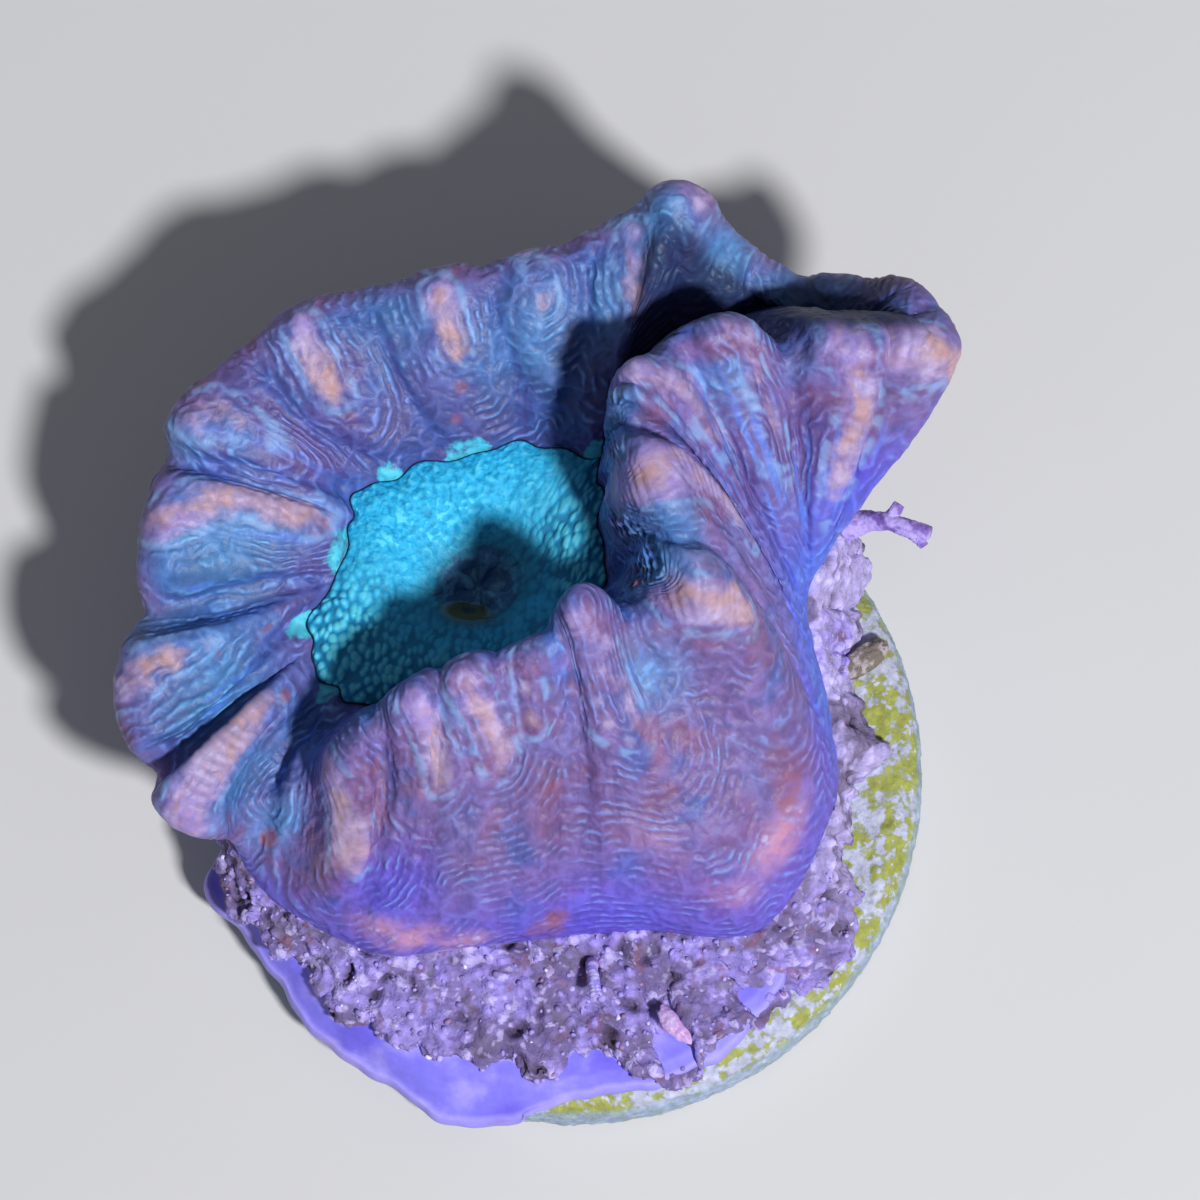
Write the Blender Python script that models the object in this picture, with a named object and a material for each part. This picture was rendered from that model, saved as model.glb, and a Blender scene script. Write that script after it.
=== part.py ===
"""A candy cane coral frag: one fleshy, folded head grown on a round cement frag disc.

Metres, +Z up. The origin is the centre of the disc's underside, so the part rests on its
own flat face. The head is a cup whose rim is high at the front right, where its wall folds
into the mouth disc, and low at the back left, where it hangs over the edge of the disc.
The tables below are in millimetres; MM turns them into metres when a mesh is made.
"""

import math

import bmesh
import bpy
import numpy as np

MM = 0.001

# Driving dimensions, in millimetres
DISC_DIAMETER = 25.4
DISC_HEIGHT = 3.0
DISC_EDGE_ROUND = 1.1
CLEARANCE = 0.3  # the gap between two pieces that touch
GLUE_THICKNESS = 0.6
GLUE_LIP_BOTTOM = 1.7  # how low the glue hangs over the disc's edge
CRUST_EDGE = 0.25  # thickness of the rubble crust along its outline

# The septa are the radial plates under the flesh. Each one lifts a lobe on the rim, and each
# row gives one: where it starts at the mouth disc, its tip on the rim, and its foot on the
# crust; then the half-width of its lobe as a share of the space to the next one, and how deep
# the cleft after it cuts. They run round the head against the clock, from the front notch.
SEPTA = (
    # name       inner end            rim tip              foot              width cleft
    ("notch", (-8.3, 1.8, 7.6), (-9.8, -1.5, 8.4), (-11.1, -4.9, 5.2), 0.10, 0.0),
    ("front_1", (-6.9, 1.5, 7.6), (-8.0, -0.7, 11.9), (-9.0, -6.3, 5.1), 0.22, 0.7),
    ("front_2", (-5.2, 1.9, 7.6), (-5.9, 0.8, 13.2), (-6.8, -7.2, 5.1), 0.18, 0.3),
    ("front_3", (-3.4, 2.4, 7.6), (-3.8, 1.6, 14.2), (-4.5, -7.0, 5.1), 0.18, 0.4),
    ("front_4", (-1.4, 3.0, 7.7), (-1.1, 2.4, 14.6), (-1.2, -6.6, 5.1), 0.15, 0.4),
    ("front_5", (0.3, 4.1, 7.8), (0.3, 3.9, 15.6), (2.4, -6.3, 5.1), 0.30, 0.15),
    ("crease", (1.0, 5.0, 8.0), (2.4, 3.4, 13.7), (6.8, -6.2, 5.1), 0.10, 0.3),
    ("right_1", (1.1, 6.2, 8.0), (4.3, 4.6, 15.2), (9.3, -2.0, 5.1), 0.28, 1.0),
    ("right_2", (1.0, 8.8, 8.0), (2.9, 8.1, 16.0), (9.3, 1.1, 5.2), 0.30, 1.6),
    ("right_3", (1.0, 10.6, 8.0), (2.3, 12.0, 15.6), (8.7, 3.8, 5.6), 0.26, 0.9),
    ("right_4", (2.2, 13.5, 9.0), (5.7, 13.8, 14.8), (8.4, 5.3, 6.1), 0.24, 0.6),
    ("right_5", (6.9, 15.7, 9.4), (9.6, 13.3, 14.3), (8.7, 6.5, 6.5), 0.24, 0.4),
    ("right_6", (10.0, 15.2, 10.1), (12.6, 13.5, 14.0), (9.1, 7.3, 6.6), 0.40, 0.2),
    ("valley_end", (10.9, 14.8, 10.9), (11.6, 15.4, 12.7), (8.4, 8.7, 6.6), 0.20, 0.2),
    ("back_right", (10.0, 15.2, 10.1), (9.3, 15.9, 10.7), (6.4, 10.1, 6.3), 0.20, 0.3),
    ("back_saddle", (6.9, 15.7, 9.4), (6.7, 16.6, 10.6), (4.2, 10.7, 6.1), 0.20, 0.4),
    ("back_peak", (2.2, 13.5, 9.0), (3.8, 18.5, 13.8), (2.0, 11.1, 6.0), 0.22, 0.3),
    ("back_1", (1.0, 10.6, 8.0), (1.3, 17.4, 12.2), (-0.1, 11.2, 6.0), 0.20, 0.2),
    ("back_2", (-1.2, 11.1, 8.0), (-1.3, 16.5, 12.0), (-2.3, 11.2, 6.0), 0.18, 0.2),
    ("back_3", (-3.7, 10.7, 8.0), (-4.6, 15.9, 11.8), (-4.7, 11.1, 6.0), 0.16, 0.25),
    ("back_4", (-6.4, 9.9, 8.0), (-9.5, 14.7, 11.4), (-7.0, 10.1, 6.0), 0.16, 0.3),
    ("back_5", (-8.0, 9.0, 8.0), (-13.4, 11.5, 10.8), (-9.2, 8.5, 5.7), 0.18, 0.8),
    ("left_1", (-8.1, 7.3, 8.0), (-14.4, 7.8, 10.6), (-10.7, 6.2, 5.4), 0.28, 1.5),
    ("left_2", (-9.4, 4.6, 8.0), (-15.3, 1.4, 10.2), (-11.8, 2.6, 5.2), 0.28, 1.9),
    ("left_3", (-9.3, 2.9, 7.8), (-13.5, -2.3, 10.0), (-12.4, -2.2, 5.3), 0.26, 1.2),
)
NECK_START, VALLEY_END, NECK_STOP = 9, 13, 17  # rows of SEPTA between which the valley runs

STEPS = 5  # mesh columns from one septum to the next
INNER_ROWS, LIP_ROWS, OUTER_ROWS = 8, 3, 7  # mesh rows up the inner wall, over, and down
LIP_RADIUS = 0.9  # how round the fleshy rim is
ARC_EASE = 0.55  # the Bezier handle of a quarter circle, as a share of its radius
CLEFT_SOFTNESS = 0.25
OUTWARD_REACH = 3  # how many columns to each side settle which way the wall leans
FOOT_SHARE = 0.65  # how much of that lean comes from the place of the foot instead
CLEFT_DROP, CLEFT_DRAW_IN, CLEFT_GROOVE = 0.6, 0.3, 0.4  # shares of a cleft's depth

MOUTH = (-3.4, 6.0)
MOUTH_RADII = (1.5, 1.1)
MOUTH_TURN = math.radians(25)
MOUTH_LIP_Z, MOUTH_PIT_Z = 7.4, 6.4
MOUTH_DISC_RINGS = ((0.84, 8.5), (0.6, 8.15), (0.3, 7.7))  # share of the way out, and height

HEAD_CENTRE = (-0.8, 2.2)
HEAD_BASE_Z = 5.7

# Outlines seen from above, against the clock
CRUST_OUTLINE = (
    (-12.1, -5.2), (-9.4, -7.4), (-8.6, -8.9), (-6.8, -9.6), (-5.1, -10.5), (-3.2, -10.5),
    (-1.0, -11.2), (0.2, -10.2), (2.3, -10.8), (3.6, -12.0), (4.6, -10.3), (6.4, -9.2),
    (8.2, -8.0), (10.0, -6.5), (9.8, -3.9), (9.9, -1.0), (11.2, 0.8), (9.9, 2.4),
    (10.0, 4.6), (10.4, 6.6), (10.2, 8.6), (8.2, 10.2), (4.4, 11.6), (0.0, 12.1),
    (-4.6, 11.8), (-8.4, 9.7), (-11.4, 6.4), (-12.5, 2.0), (-12.7, -2.0),
)
GLUE_OUTLINE = (
    (-13.2, -4.3), (-11.9, -5.9), (-10.9, -7.4), (-9.2, -9.5), (-7.3, -11.0), (-5.6, -12.1),
    (-4.4, -12.7), (-3.0, -12.7), (-1.0, -12.4), (0.4, -11.9), (3.1, -11.4), (5.2, -10.6),
    (6.6, -9.0), (8.2, -6.4), (8.4, -3.0), (8.6, 0.5), (8.6, 4.0), (8.6, 7.2),
    (6.8, 9.4), (3.4, 10.7), (-0.6, 11.2), (-4.6, 10.6), (-8.2, 8.6), (-10.6, 5.6),
    (-12.0, 1.8), (-12.6, -2.2),
)

# Small things that grew or settled on the crust
WORM_TUBE = ((0.7, -7.4, 5.0), (0.65, -7.6, 5.5), (0.75, -8.2, 5.9), (0.8, -8.7, 6.0))
WORM_TUBE_RADIUS = 0.2
TWIG = ((10.7, 8.7, 5.6), (11.4, 8.6, 6.0), (12.2, 8.3, 6.1), (12.9, 8.1, 6.3))
TWIG_RADIUS = 0.24
CHIP_CENTRE, CHIP_SIZE, CHIP_TURN = (3.6, -9.7, 5.3), (0.85, 0.32, 0.2), math.radians(-50)
ALGAE_CENTRE, ALGAE_SIZE, ALGAE_TURN = (10.5, 3.9, 3.65), (1.15, 0.5, 0.33), math.radians(35)


def clear_scene():
    for item in list(bpy.data.objects):
        bpy.data.objects.remove(item)


def material(name, colour, roughness):
    """A Principled surface in one colour, which suits a plain solid."""
    made = bpy.data.materials.new(name)
    made.use_nodes = True
    surface = made.node_tree.nodes["Principled BSDF"]
    surface.inputs["Base Color"].default_value = (*colour, 1.0)
    surface.inputs["Roughness"].default_value = roughness
    surface.inputs["Metallic"].default_value = 0.0
    return made


def add_object(name, mesh, finish):
    """One named sub-part with its own finish."""
    made = bpy.data.objects.new(name, mesh)
    made.data.materials.append(finish)
    bpy.context.scene.collection.objects.link(made)
    return made


def mesh_from(name, points, faces):
    """A smooth mesh from points in millimetres, with its faces turned to point outwards."""
    made = bpy.data.meshes.new(name)
    made.from_pydata([tuple(point) for point in np.asarray(points) * MM], [], faces)
    edit = bmesh.new()
    edit.from_mesh(made)
    bmesh.ops.recalc_face_normals(edit, faces=edit.faces)
    edit.to_mesh(made)
    edit.free()
    made.shade_smooth()
    return made


def closed_curve(points, steps):
    """A smooth closed curve through the points, with this many samples for each of them."""
    here = np.array(points, float)
    before, after, beyond = (np.roll(here, shift, axis=0) for shift in (1, -1, -2))
    t = (np.arange(steps) / steps)[None, :, None]
    before, here, after, beyond = (knots[:, None, :] for knots in (before, here, after, beyond))
    curve = 0.5 * (
        2 * here
        + (after - before) * t
        + (2 * before - 5 * here + 4 * after - beyond) * t**2
        + (3 * here - before - 3 * after + beyond) * t**3
    )
    return curve.reshape(-1, curve.shape[-1])


def smooth_step(low, high, value):
    """0 below low, 1 above high, and an S-curve between them."""
    share = np.clip((value - low) / (high - low), 0, 1)
    return share * share * (3 - 2 * share)


def bezier(t, p0, p1, p2, p3):
    """Points of a cubic Bezier curve for each column: rows follow t."""
    t = np.asarray(t)[None, :, None]
    p0, p1, p2, p3 = (point[:, None, :] for point in (p0, p1, p2, p3))
    return (1 - t) ** 3 * p0 + 3 * (1 - t) ** 2 * t * p1 + 3 * (1 - t) * t**2 * p2 + t**3 * p3


# ---------------------------------------------------------------------------------------
# The coral head
# ---------------------------------------------------------------------------------------
def outward_of(loop, reach=1):
    """Level unit vectors pointing out of a loop that runs against the clock."""
    along = np.roll(loop, -reach, axis=0) - np.roll(loop, reach, axis=0)
    out = np.stack([along[:, 1], -along[:, 0], np.zeros(len(loop))], axis=1)
    return out / np.linalg.norm(out, axis=1)[:, None]


def lean_to(way, out):
    """Turns the outward directions towards the feet, where these lie outside the rim."""
    level = way * (1, 1, 0)
    level /= np.linalg.norm(level, axis=1)[:, None]
    share = FOOT_SHARE * np.maximum(np.sum(level * out, axis=1), 0)[:, None]
    turned = out * (1 - share) + level * share
    return turned / np.linalg.norm(turned, axis=1)[:, None]


def share_the_valley_floor(inner):
    """The two walls of the valley start from one line, so its far side repeats the near one."""
    first, middle, last = (row * STEPS for row in (NECK_START, VALLEY_END, NECK_STOP))
    for column in range(middle + 1, last + 1):
        inner[column] = inner[2 * middle - column]
    return first, middle, last


def clefts(columns):
    """How far the flesh sinks between the lobes, for each column of the mesh."""
    place = np.arange(columns) / STEPS
    row = np.floor(place).astype(int)
    share = place - row
    count = len(SEPTA)
    width = np.array([septum[4] for septum in SEPTA])
    depth = np.array([septum[5] for septum in SEPTA])
    leaving = smooth_step(width[row], width[row] + CLEFT_SOFTNESS, share)
    following = (row + 1) % count
    arriving = smooth_step(width[following], width[following] + CLEFT_SOFTNESS, 1 - share)
    return depth[row] * np.minimum(leaving, arriving)


def normals_of(grid):
    """Unit normals of a grid that is closed round its first direction."""
    around = np.roll(grid, -1, axis=0) - np.roll(grid, 1, axis=0)
    across = np.gradient(grid, axis=1)
    normal = np.cross(across, around)
    return normal / np.maximum(np.linalg.norm(normal, axis=2), 1e-9)[:, :, None]


def head_walls():
    """The wall of the cup: columns run round it, and rows from the mouth disc over the rim."""
    inner = closed_curve([septum[1] for septum in SEPTA], STEPS)
    tip = closed_curve([septum[2] for septum in SEPTA], STEPS)
    foot = closed_curve([septum[3] for septum in SEPTA], STEPS)
    share_the_valley_floor(inner)
    out = lean_to(foot - tip, outward_of(tip, OUTWARD_REACH))
    up = np.array([0.0, 0.0, 1.0])
    sunk = clefts(len(tip))[:, None]
    tip = tip - sunk * (CLEFT_DROP * up + CLEFT_DRAW_IN * out)
    rise = (tip - inner)[:, 2:]
    drop = (tip - foot)[:, 2:]
    level = (tip - inner) * (1, 1, 0)

    # past the lip the wall heads for its foot, or straight down where the foot is further in
    slope = np.maximum(np.sum((foot - tip) * out, axis=1)[:, None] / drop, 0)
    steepness = np.hypot(1, slope)
    down = (out * slope - up) / steepness
    nose = tip - up * LIP_RADIUS + (out + up * slope) / steepness * LIP_RADIUS
    ease = ARC_EASE * LIP_RADIUS * np.arctan2(1, slope) / (math.pi / 2)
    fall = (nose - foot)[:, 2:]

    def share(rows):
        return np.linspace(0, 1, rows + 1)[1:]

    inside = np.concatenate([[0], share(INNER_ROWS)])
    walls = np.concatenate(
        [
            bezier(inside, inner, inner + 0.18 * level + up * 0.5 * rise, tip - out * 1.2, tip),
            bezier(share(LIP_ROWS), tip, tip + out * ease, nose - down * ease, nose),
            bezier(share(OUTER_ROWS), nose, nose + down * 0.4 * fall, foot + up * 0.4 * fall, foot),
        ],
        axis=1,
    )
    outside = np.linspace(0, 1, LIP_ROWS + OUTER_ROWS + 1)[1:]
    reach = np.concatenate([smooth_step(0.1, 0.6, inside), 1 - smooth_step(0.35, 0.9, outside)])
    sink = CLEFT_GROOVE * sunk * reach[None, :]
    return walls - normals_of(walls) * sink[:, :, None]


def mouth_ring(directions, share):
    """Points on the mouth's oval, or on a smaller copy of it, in the given directions."""
    turned = directions - MOUTH_TURN
    across = MOUTH_RADII[0] * MOUTH_RADII[1] / np.hypot(
        MOUTH_RADII[1] * np.cos(turned), MOUTH_RADII[0] * np.sin(turned)
    )
    return np.stack([np.cos(directions), np.sin(directions)], axis=1) * across[:, None] * share


def make_head(finish):
    """The living coral: one solid from the mouth disc over the lobed rim to the foot."""
    walls = head_walls()
    columns, rows, _ = walls.shape
    points = [walls.reshape(-1, 3)]
    index = np.arange(columns * rows).reshape(columns, rows)
    first, middle, last = (row * STEPS for row in (NECK_START, VALLEY_END, NECK_STOP))
    for column in range(middle + 1, last + 1):
        index[column, 0] = index[2 * middle - column, 0]
    following = np.roll(index, -1, axis=0)
    faces = []
    for a, b in zip(index, following):
        faces += [(a[j], b[j], b[j + 1], a[j + 1]) for j in range(rows - 1)]
    used = columns * rows

    # the mouth disc closes the ring inside the walls
    ring = [index[k % columns, 0] for k in range(last, columns + first)]
    edge = points[0][ring]
    centre = np.array(MOUTH)
    directions = np.arctan2(*(edge[:, :2] - centre).T[::-1])
    lip = centre + mouth_ring(directions, 1.0)
    rings = []
    for share, height in MOUTH_DISC_RINGS:
        flat = lip + (edge[:, :2] - lip) * share
        rings.append(np.column_stack([flat, np.full(len(ring), height)]))
    rings.append(np.column_stack([lip, np.full(len(ring), MOUTH_LIP_Z)]))
    pit = centre + mouth_ring(directions, 0.45)
    rings.append(np.column_stack([pit, np.full(len(ring), MOUTH_PIT_Z)]))
    outer = ring
    for made in rings:
        points.append(made)
        inside = list(range(used, used + len(made)))
        used += len(made)
        for k in range(len(outer)):
            nxt = (k + 1) % len(outer)
            faces.append((outer[k], inside[k], inside[nxt], outer[nxt]))
        outer = inside
    points.append([(*MOUTH, MOUTH_PIT_Z - 0.1)])
    faces += [(outer[k], used, outer[(k + 1) % len(outer)]) for k in range(len(outer))]
    used += 1

    # the underside, where the head grew onto the crust
    feet = index[:, -1]
    middle_ring = np.array(HEAD_CENTRE) + 0.55 * (walls[:, -1, :2] - HEAD_CENTRE)
    points.append(np.column_stack([middle_ring, np.full(columns, HEAD_BASE_Z)]))
    base = list(range(used, used + columns))
    used += columns
    for k in range(columns):
        nxt = (k + 1) % columns
        faces.append((feet[k], feet[nxt], base[nxt], base[k]))
    points.append([(*HEAD_CENTRE, HEAD_BASE_Z)])
    faces += [(base[k], base[(k + 1) % columns], used) for k in range(columns)]

    # the valley floor's far side is unused, so only the points that faces name are kept
    points = np.concatenate(points)
    named = sorted({corner for face in faces for corner in face})
    renumber = {old: new for new, old in enumerate(named)}
    faces = [tuple(renumber[corner] for corner in face) for face in faces]
    return add_object("coral_head", mesh_from("coral_head", points[named], faces), finish)


# ---------------------------------------------------------------------------------------
# What the head stands on
# ---------------------------------------------------------------------------------------
def make_disc(finish):
    """The cast cement disc: a turned profile with a rounded upper edge and a flat underside."""
    radius = DISC_DIAMETER / 2
    chamfer = 0.4
    arc = [math.radians(angle) for angle in range(0, 91, 18)]
    profile = [(0.0, 0.0), (radius - chamfer, 0.0), (radius, chamfer)]
    profile += [
        (
            radius - DISC_EDGE_ROUND + DISC_EDGE_ROUND * math.cos(angle),
            DISC_HEIGHT - DISC_EDGE_ROUND + DISC_EDGE_ROUND * math.sin(angle),
        )
        for angle in arc
    ]
    profile.append((0.0, DISC_HEIGHT))
    edit = bmesh.new()
    corners = [edit.verts.new((x * MM, 0, z * MM)) for x, z in profile]
    edges = [edit.edges.new(pair) for pair in zip(corners, corners[1:])]
    bmesh.ops.spin(
        edit,
        geom=corners + edges,
        cent=(0, 0, 0),
        axis=(0, 0, 1),
        angle=math.tau,
        steps=64,
        use_merge=True,
    )
    bmesh.ops.remove_doubles(edit, verts=edit.verts, dist=0.001 * MM)
    bmesh.ops.recalc_face_normals(edit, faces=edit.faces)
    made = bpy.data.meshes.new("frag_disc")
    edit.to_mesh(made)
    edit.free()
    made.shade_smooth()
    made.set_sharp_from_angle(angle=math.radians(40))
    return add_object("frag_disc", made, finish)


def disc_surface(radius):
    """Height of the disc's upper side at a distance from its middle."""
    start = DISC_DIAMETER / 2 - DISC_EDGE_ROUND
    along = np.clip((radius - start) / DISC_EDGE_ROUND, 0, 1)
    return DISC_HEIGHT - DISC_EDGE_ROUND * (1 - np.sqrt(1 - along**2))


def stacked_shell(name, levels, top_centre, bottom_centre, finish):
    """A closed solid from loops that run over the top, round the edge and back underneath."""
    count = len(levels[0])
    points = np.concatenate([*levels, [top_centre], [bottom_centre]])
    top, bottom = len(points) - 2, len(points) - 1
    faces = []
    for k in range(count):
        nxt = (k + 1) % count
        faces.append((k, nxt, top))
        for level in range(len(levels) - 1):
            a, b = level * count, (level + 1) * count
            faces.append((a + k, b + k, b + nxt, a + nxt))
        last = (len(levels) - 1) * count
        faces.append((last + nxt, last + k, bottom))
    return add_object(name, mesh_from(name, points, faces), finish)


def make_glue(finish):
    """The cured glue: a skin over the disc that has run over its edge at the front left."""
    outline = closed_curve(GLUE_OUTLINE, 3)
    lip = DISC_DIAMETER / 2 + CLEARANCE

    def level(share, thickness):
        flat = outline * share
        radius = np.linalg.norm(flat, axis=1)
        under = disc_surface(np.maximum(radius - CLEARANCE, 0)) + CLEARANCE
        under = np.where(radius > lip, GLUE_LIP_BOTTOM, under)
        return np.column_stack([flat, under + thickness])

    shares = (0.45, 0.8, 0.93, 1.0)
    top = [level(share, GLUE_THICKNESS) for share in shares[:3]] + [level(1.0, 0.4)]
    # the lip's upper side stays above the disc's rounded edge
    high = disc_surface(np.linalg.norm(outline, axis=1) - 0.9) - 0.2
    top[3][:, 2] = np.maximum(top[3][:, 2], high)
    bottom = [level(share, 0.0) for share in reversed(shares)]
    centre = DISC_HEIGHT + CLEARANCE
    return stacked_shell(
        "glue_pad",
        top + bottom,
        (0, 0, centre + GLUE_THICKNESS),
        (0, 0, centre),
        finish,
    )


def make_crust(finish):
    """Rubble and sand bedded round the coral's foot, highest under its right side."""
    foot = closed_curve([septum[3] for septum in SEPTA], 3)
    outline = closed_curve(CRUST_OUTLINE, 3)
    outline = resample_towards(outline, foot)
    below = DISC_HEIGHT + GLUE_THICKNESS + 2 * CLEARANCE
    centre = np.array(HEAD_CENTRE)

    inner = centre + 0.55 * (foot[:, :2] - centre)
    top_middle = np.column_stack([inner, np.full(len(inner), HEAD_BASE_Z - CLEARANCE)])
    top_foot = foot - (0, 0, CLEARANCE)
    top_slope = np.column_stack(
        [foot[:, :2] + 0.6 * (outline - foot[:, :2]), 0.45 * top_foot[:, 2] + 0.55 * (below + 0.5)]
    )
    top_edge = np.column_stack([outline, np.full(len(outline), below + CRUST_EDGE)])
    bottom_edge = np.column_stack([outline, np.full(len(outline), below)])
    bottom_middle = np.column_stack([inner, np.full(len(inner), below)])
    return stacked_shell(
        "rubble_crust",
        [top_middle, top_foot, top_slope, top_edge, bottom_edge, bottom_middle],
        (*HEAD_CENTRE, HEAD_BASE_Z - CLEARANCE),
        (*HEAD_CENTRE, below),
        finish,
    )


def resample_towards(outline, guide):
    """The outline's points in the directions in which the guide's points lie from the centre."""
    centre = np.array(HEAD_CENTRE)
    around = np.unwrap(np.arctan2(*(outline - centre).T[::-1]))
    wanted = np.unwrap(np.arctan2(*(guide[:, :2] - centre).T[::-1]))
    radius = np.linalg.norm(outline - centre, axis=1)
    radius = np.interp(wanted, around, radius, period=math.tau)
    return centre + np.column_stack([np.cos(wanted), np.sin(wanted)]) * radius[:, None]


def make_rod(name, route, radius, finish):
    """A small round rod along a route, as a curve with a bevel and closed ends."""
    curve = bpy.data.curves.new(name, "CURVE")
    curve.dimensions = "3D"
    curve.bevel_depth = radius * MM
    curve.bevel_resolution = 2
    curve.use_fill_caps = True
    line = curve.splines.new("POLY")
    line.points.add(len(route) - 1)
    for point, (x, y, z) in zip(line.points, route):
        point.co = (x * MM, y * MM, z * MM, 1)
    return add_object(name, curve, finish)


def make_pebble(name, centre, size, turn, finish):
    """A small flattened lump, turned on its place."""
    edit = bmesh.new()
    bmesh.ops.create_icosphere(edit, subdivisions=2, radius=1.0)
    for corner in edit.verts:
        corner.co.x *= size[0] * MM
        corner.co.y *= size[1] * MM
        corner.co.z *= size[2] * MM
    made = bpy.data.meshes.new(name)
    edit.to_mesh(made)
    edit.free()
    made.shade_smooth()
    pebble = add_object(name, made, finish)
    pebble.location = [value * MM for value in centre]
    pebble.rotation_euler.z = turn
    return pebble


def main():
    clear_scene()
    make_disc(material("algae_cement", (0.42, 0.46, 0.16), 0.85))
    make_glue(material("cured_glue", (0.21, 0.17, 0.86), 0.35))
    make_crust(material("sand_rubble", (0.29, 0.23, 0.42), 0.9))
    make_head(material("coral_flesh", (0.15, 0.22, 0.55), 0.4))
    make_rod("worm_tube", WORM_TUBE, WORM_TUBE_RADIUS, material("worm_shell", (0.4, 0.38, 0.9), 0.5))
    make_rod("coralline_twig", TWIG, TWIG_RADIUS, material("coralline", (0.36, 0.3, 0.8), 0.7))
    chip = material("shell_chip", (0.5, 0.3, 0.62), 0.6)
    make_pebble("shell_chip", CHIP_CENTRE, CHIP_SIZE, CHIP_TURN, chip)
    algae = material("turf_algae", (0.1, 0.09, 0.1), 0.9)
    make_pebble("turf_algae", ALGAE_CENTRE, ALGAE_SIZE, ALGAE_TURN, algae)


main()
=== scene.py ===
# %% [markdown]
# # A candy cane coral frag
# One fleshy coral head has grown, folded like a cup, on a round cement disc. It stands in a bed
# of sand and rubble, over a skin of cured glue. A CAD model already fixes every size and place.
# This lesson builds the skin of each piece around that model: first the helpers, then the stage,
# the head, its mouth, the ground that it stands on, and last the small things round it.

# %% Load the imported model
import math

import bmesh
import bpy
import numpy as np
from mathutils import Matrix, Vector


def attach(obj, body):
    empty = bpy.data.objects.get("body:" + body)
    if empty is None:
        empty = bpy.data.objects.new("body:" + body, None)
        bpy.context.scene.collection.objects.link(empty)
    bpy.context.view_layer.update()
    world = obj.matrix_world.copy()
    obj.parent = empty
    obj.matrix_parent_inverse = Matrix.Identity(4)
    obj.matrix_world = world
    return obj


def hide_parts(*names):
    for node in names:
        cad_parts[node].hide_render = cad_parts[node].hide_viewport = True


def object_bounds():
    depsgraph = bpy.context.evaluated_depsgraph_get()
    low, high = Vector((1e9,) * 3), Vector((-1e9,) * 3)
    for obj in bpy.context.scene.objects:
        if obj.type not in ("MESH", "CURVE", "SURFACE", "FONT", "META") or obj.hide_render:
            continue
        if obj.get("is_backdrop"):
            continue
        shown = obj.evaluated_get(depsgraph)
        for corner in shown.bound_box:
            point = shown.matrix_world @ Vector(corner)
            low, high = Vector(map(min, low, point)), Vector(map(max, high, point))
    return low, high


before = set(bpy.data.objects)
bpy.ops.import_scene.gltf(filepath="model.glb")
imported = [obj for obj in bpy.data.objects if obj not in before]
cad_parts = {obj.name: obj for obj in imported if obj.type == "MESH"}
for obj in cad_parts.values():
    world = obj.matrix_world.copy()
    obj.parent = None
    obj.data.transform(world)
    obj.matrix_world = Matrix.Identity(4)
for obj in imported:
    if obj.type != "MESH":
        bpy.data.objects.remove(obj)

CAD_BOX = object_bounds()
MM = 0.001
print("CAD nodes:", sorted(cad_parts))

# %% [markdown]
# ## Meshes and materials from a script
# The pieces have up to a hundred thousand faces, so their points come from numpy arrays and are
# handed to Blender in one go. Every length below is in millimetres, because that is how one
# measures a coral, and the meshes are made in metres. A material starts from the Principled
# surface, and a value that is the same all over is set on that surface's own socket.

# %% A mesh and a material
def mesh_from(name, points, quads):
    """A smooth mesh from points in millimetres and rows of four corner numbers."""
    made = bpy.data.meshes.new(name)
    corners = np.asarray(quads, np.int32).ravel()
    made.vertices.add(len(points))
    made.vertices.foreach_set("co", (np.asarray(points) * MM).astype(np.float32).ravel())
    made.loops.add(len(corners))
    made.loops.foreach_set("vertex_index", corners)
    made.polygons.add(len(quads))
    made.polygons.foreach_set("loop_start", np.arange(0, len(corners), 4, dtype=np.int32))
    made.update(calc_edges=True)
    made.shade_smooth()
    return made


def new_material(name, **constants):
    """A material, its tree and its Principled surface, with the values that never vary set on it."""
    made = bpy.data.materials.new(name)
    made.use_nodes = True
    surface = made.node_tree.nodes["Principled BSDF"]
    for socket, value in constants.items():
        surface.inputs[socket.replace("_", " ")].default_value = value
    return made, made.node_tree, surface


# %% [markdown]
# ## The stage
# The coral is seen from steeply above, a little from the front, as one looks down into a tank.
# A long lens keeps it free of distortion. One key light from the front right throws the shadow
# of the high rim into the cup, and the pale floor and a dim sky fill the rest.

# %% Camera, lights and floor
MIDDLE = Vector((0.95, 5.3, 8.0)) * MM
EYE = Vector((0.95, -42.4, 253.41)) * MM
LENS_LENGTH = 208.9

camera = bpy.data.objects.new("camera", bpy.data.cameras.new("camera"))
camera.location = EYE
camera.rotation_mode = "QUATERNION"
camera.rotation_quaternion = (MIDDLE - EYE).to_track_quat("-Z", "Y")
camera.data.lens = LENS_LENGTH
camera.data.clip_start = MM
bpy.context.scene.collection.objects.link(camera)
bpy.context.scene.camera = camera

TO_KEY_LIGHT = Vector((3.4, -4.1, 7.6)).normalized()
KEY_DISTANCE, KEY_SIZE, KEY_POWER = 400 * MM, 45 * MM, 1.75  # the power is in watts
key = bpy.data.objects.new("key_light", bpy.data.lights.new("key_light", "AREA"))
key.data.shape = "DISK"
key.data.size = KEY_SIZE
key.data.energy = KEY_POWER
key.location = MIDDLE + TO_KEY_LIGHT * KEY_DISTANCE
key.rotation_mode = "QUATERNION"
key.rotation_quaternion = (-TO_KEY_LIGHT).to_track_quat("-Z", "Y")
bpy.context.scene.collection.objects.link(key)

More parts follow.
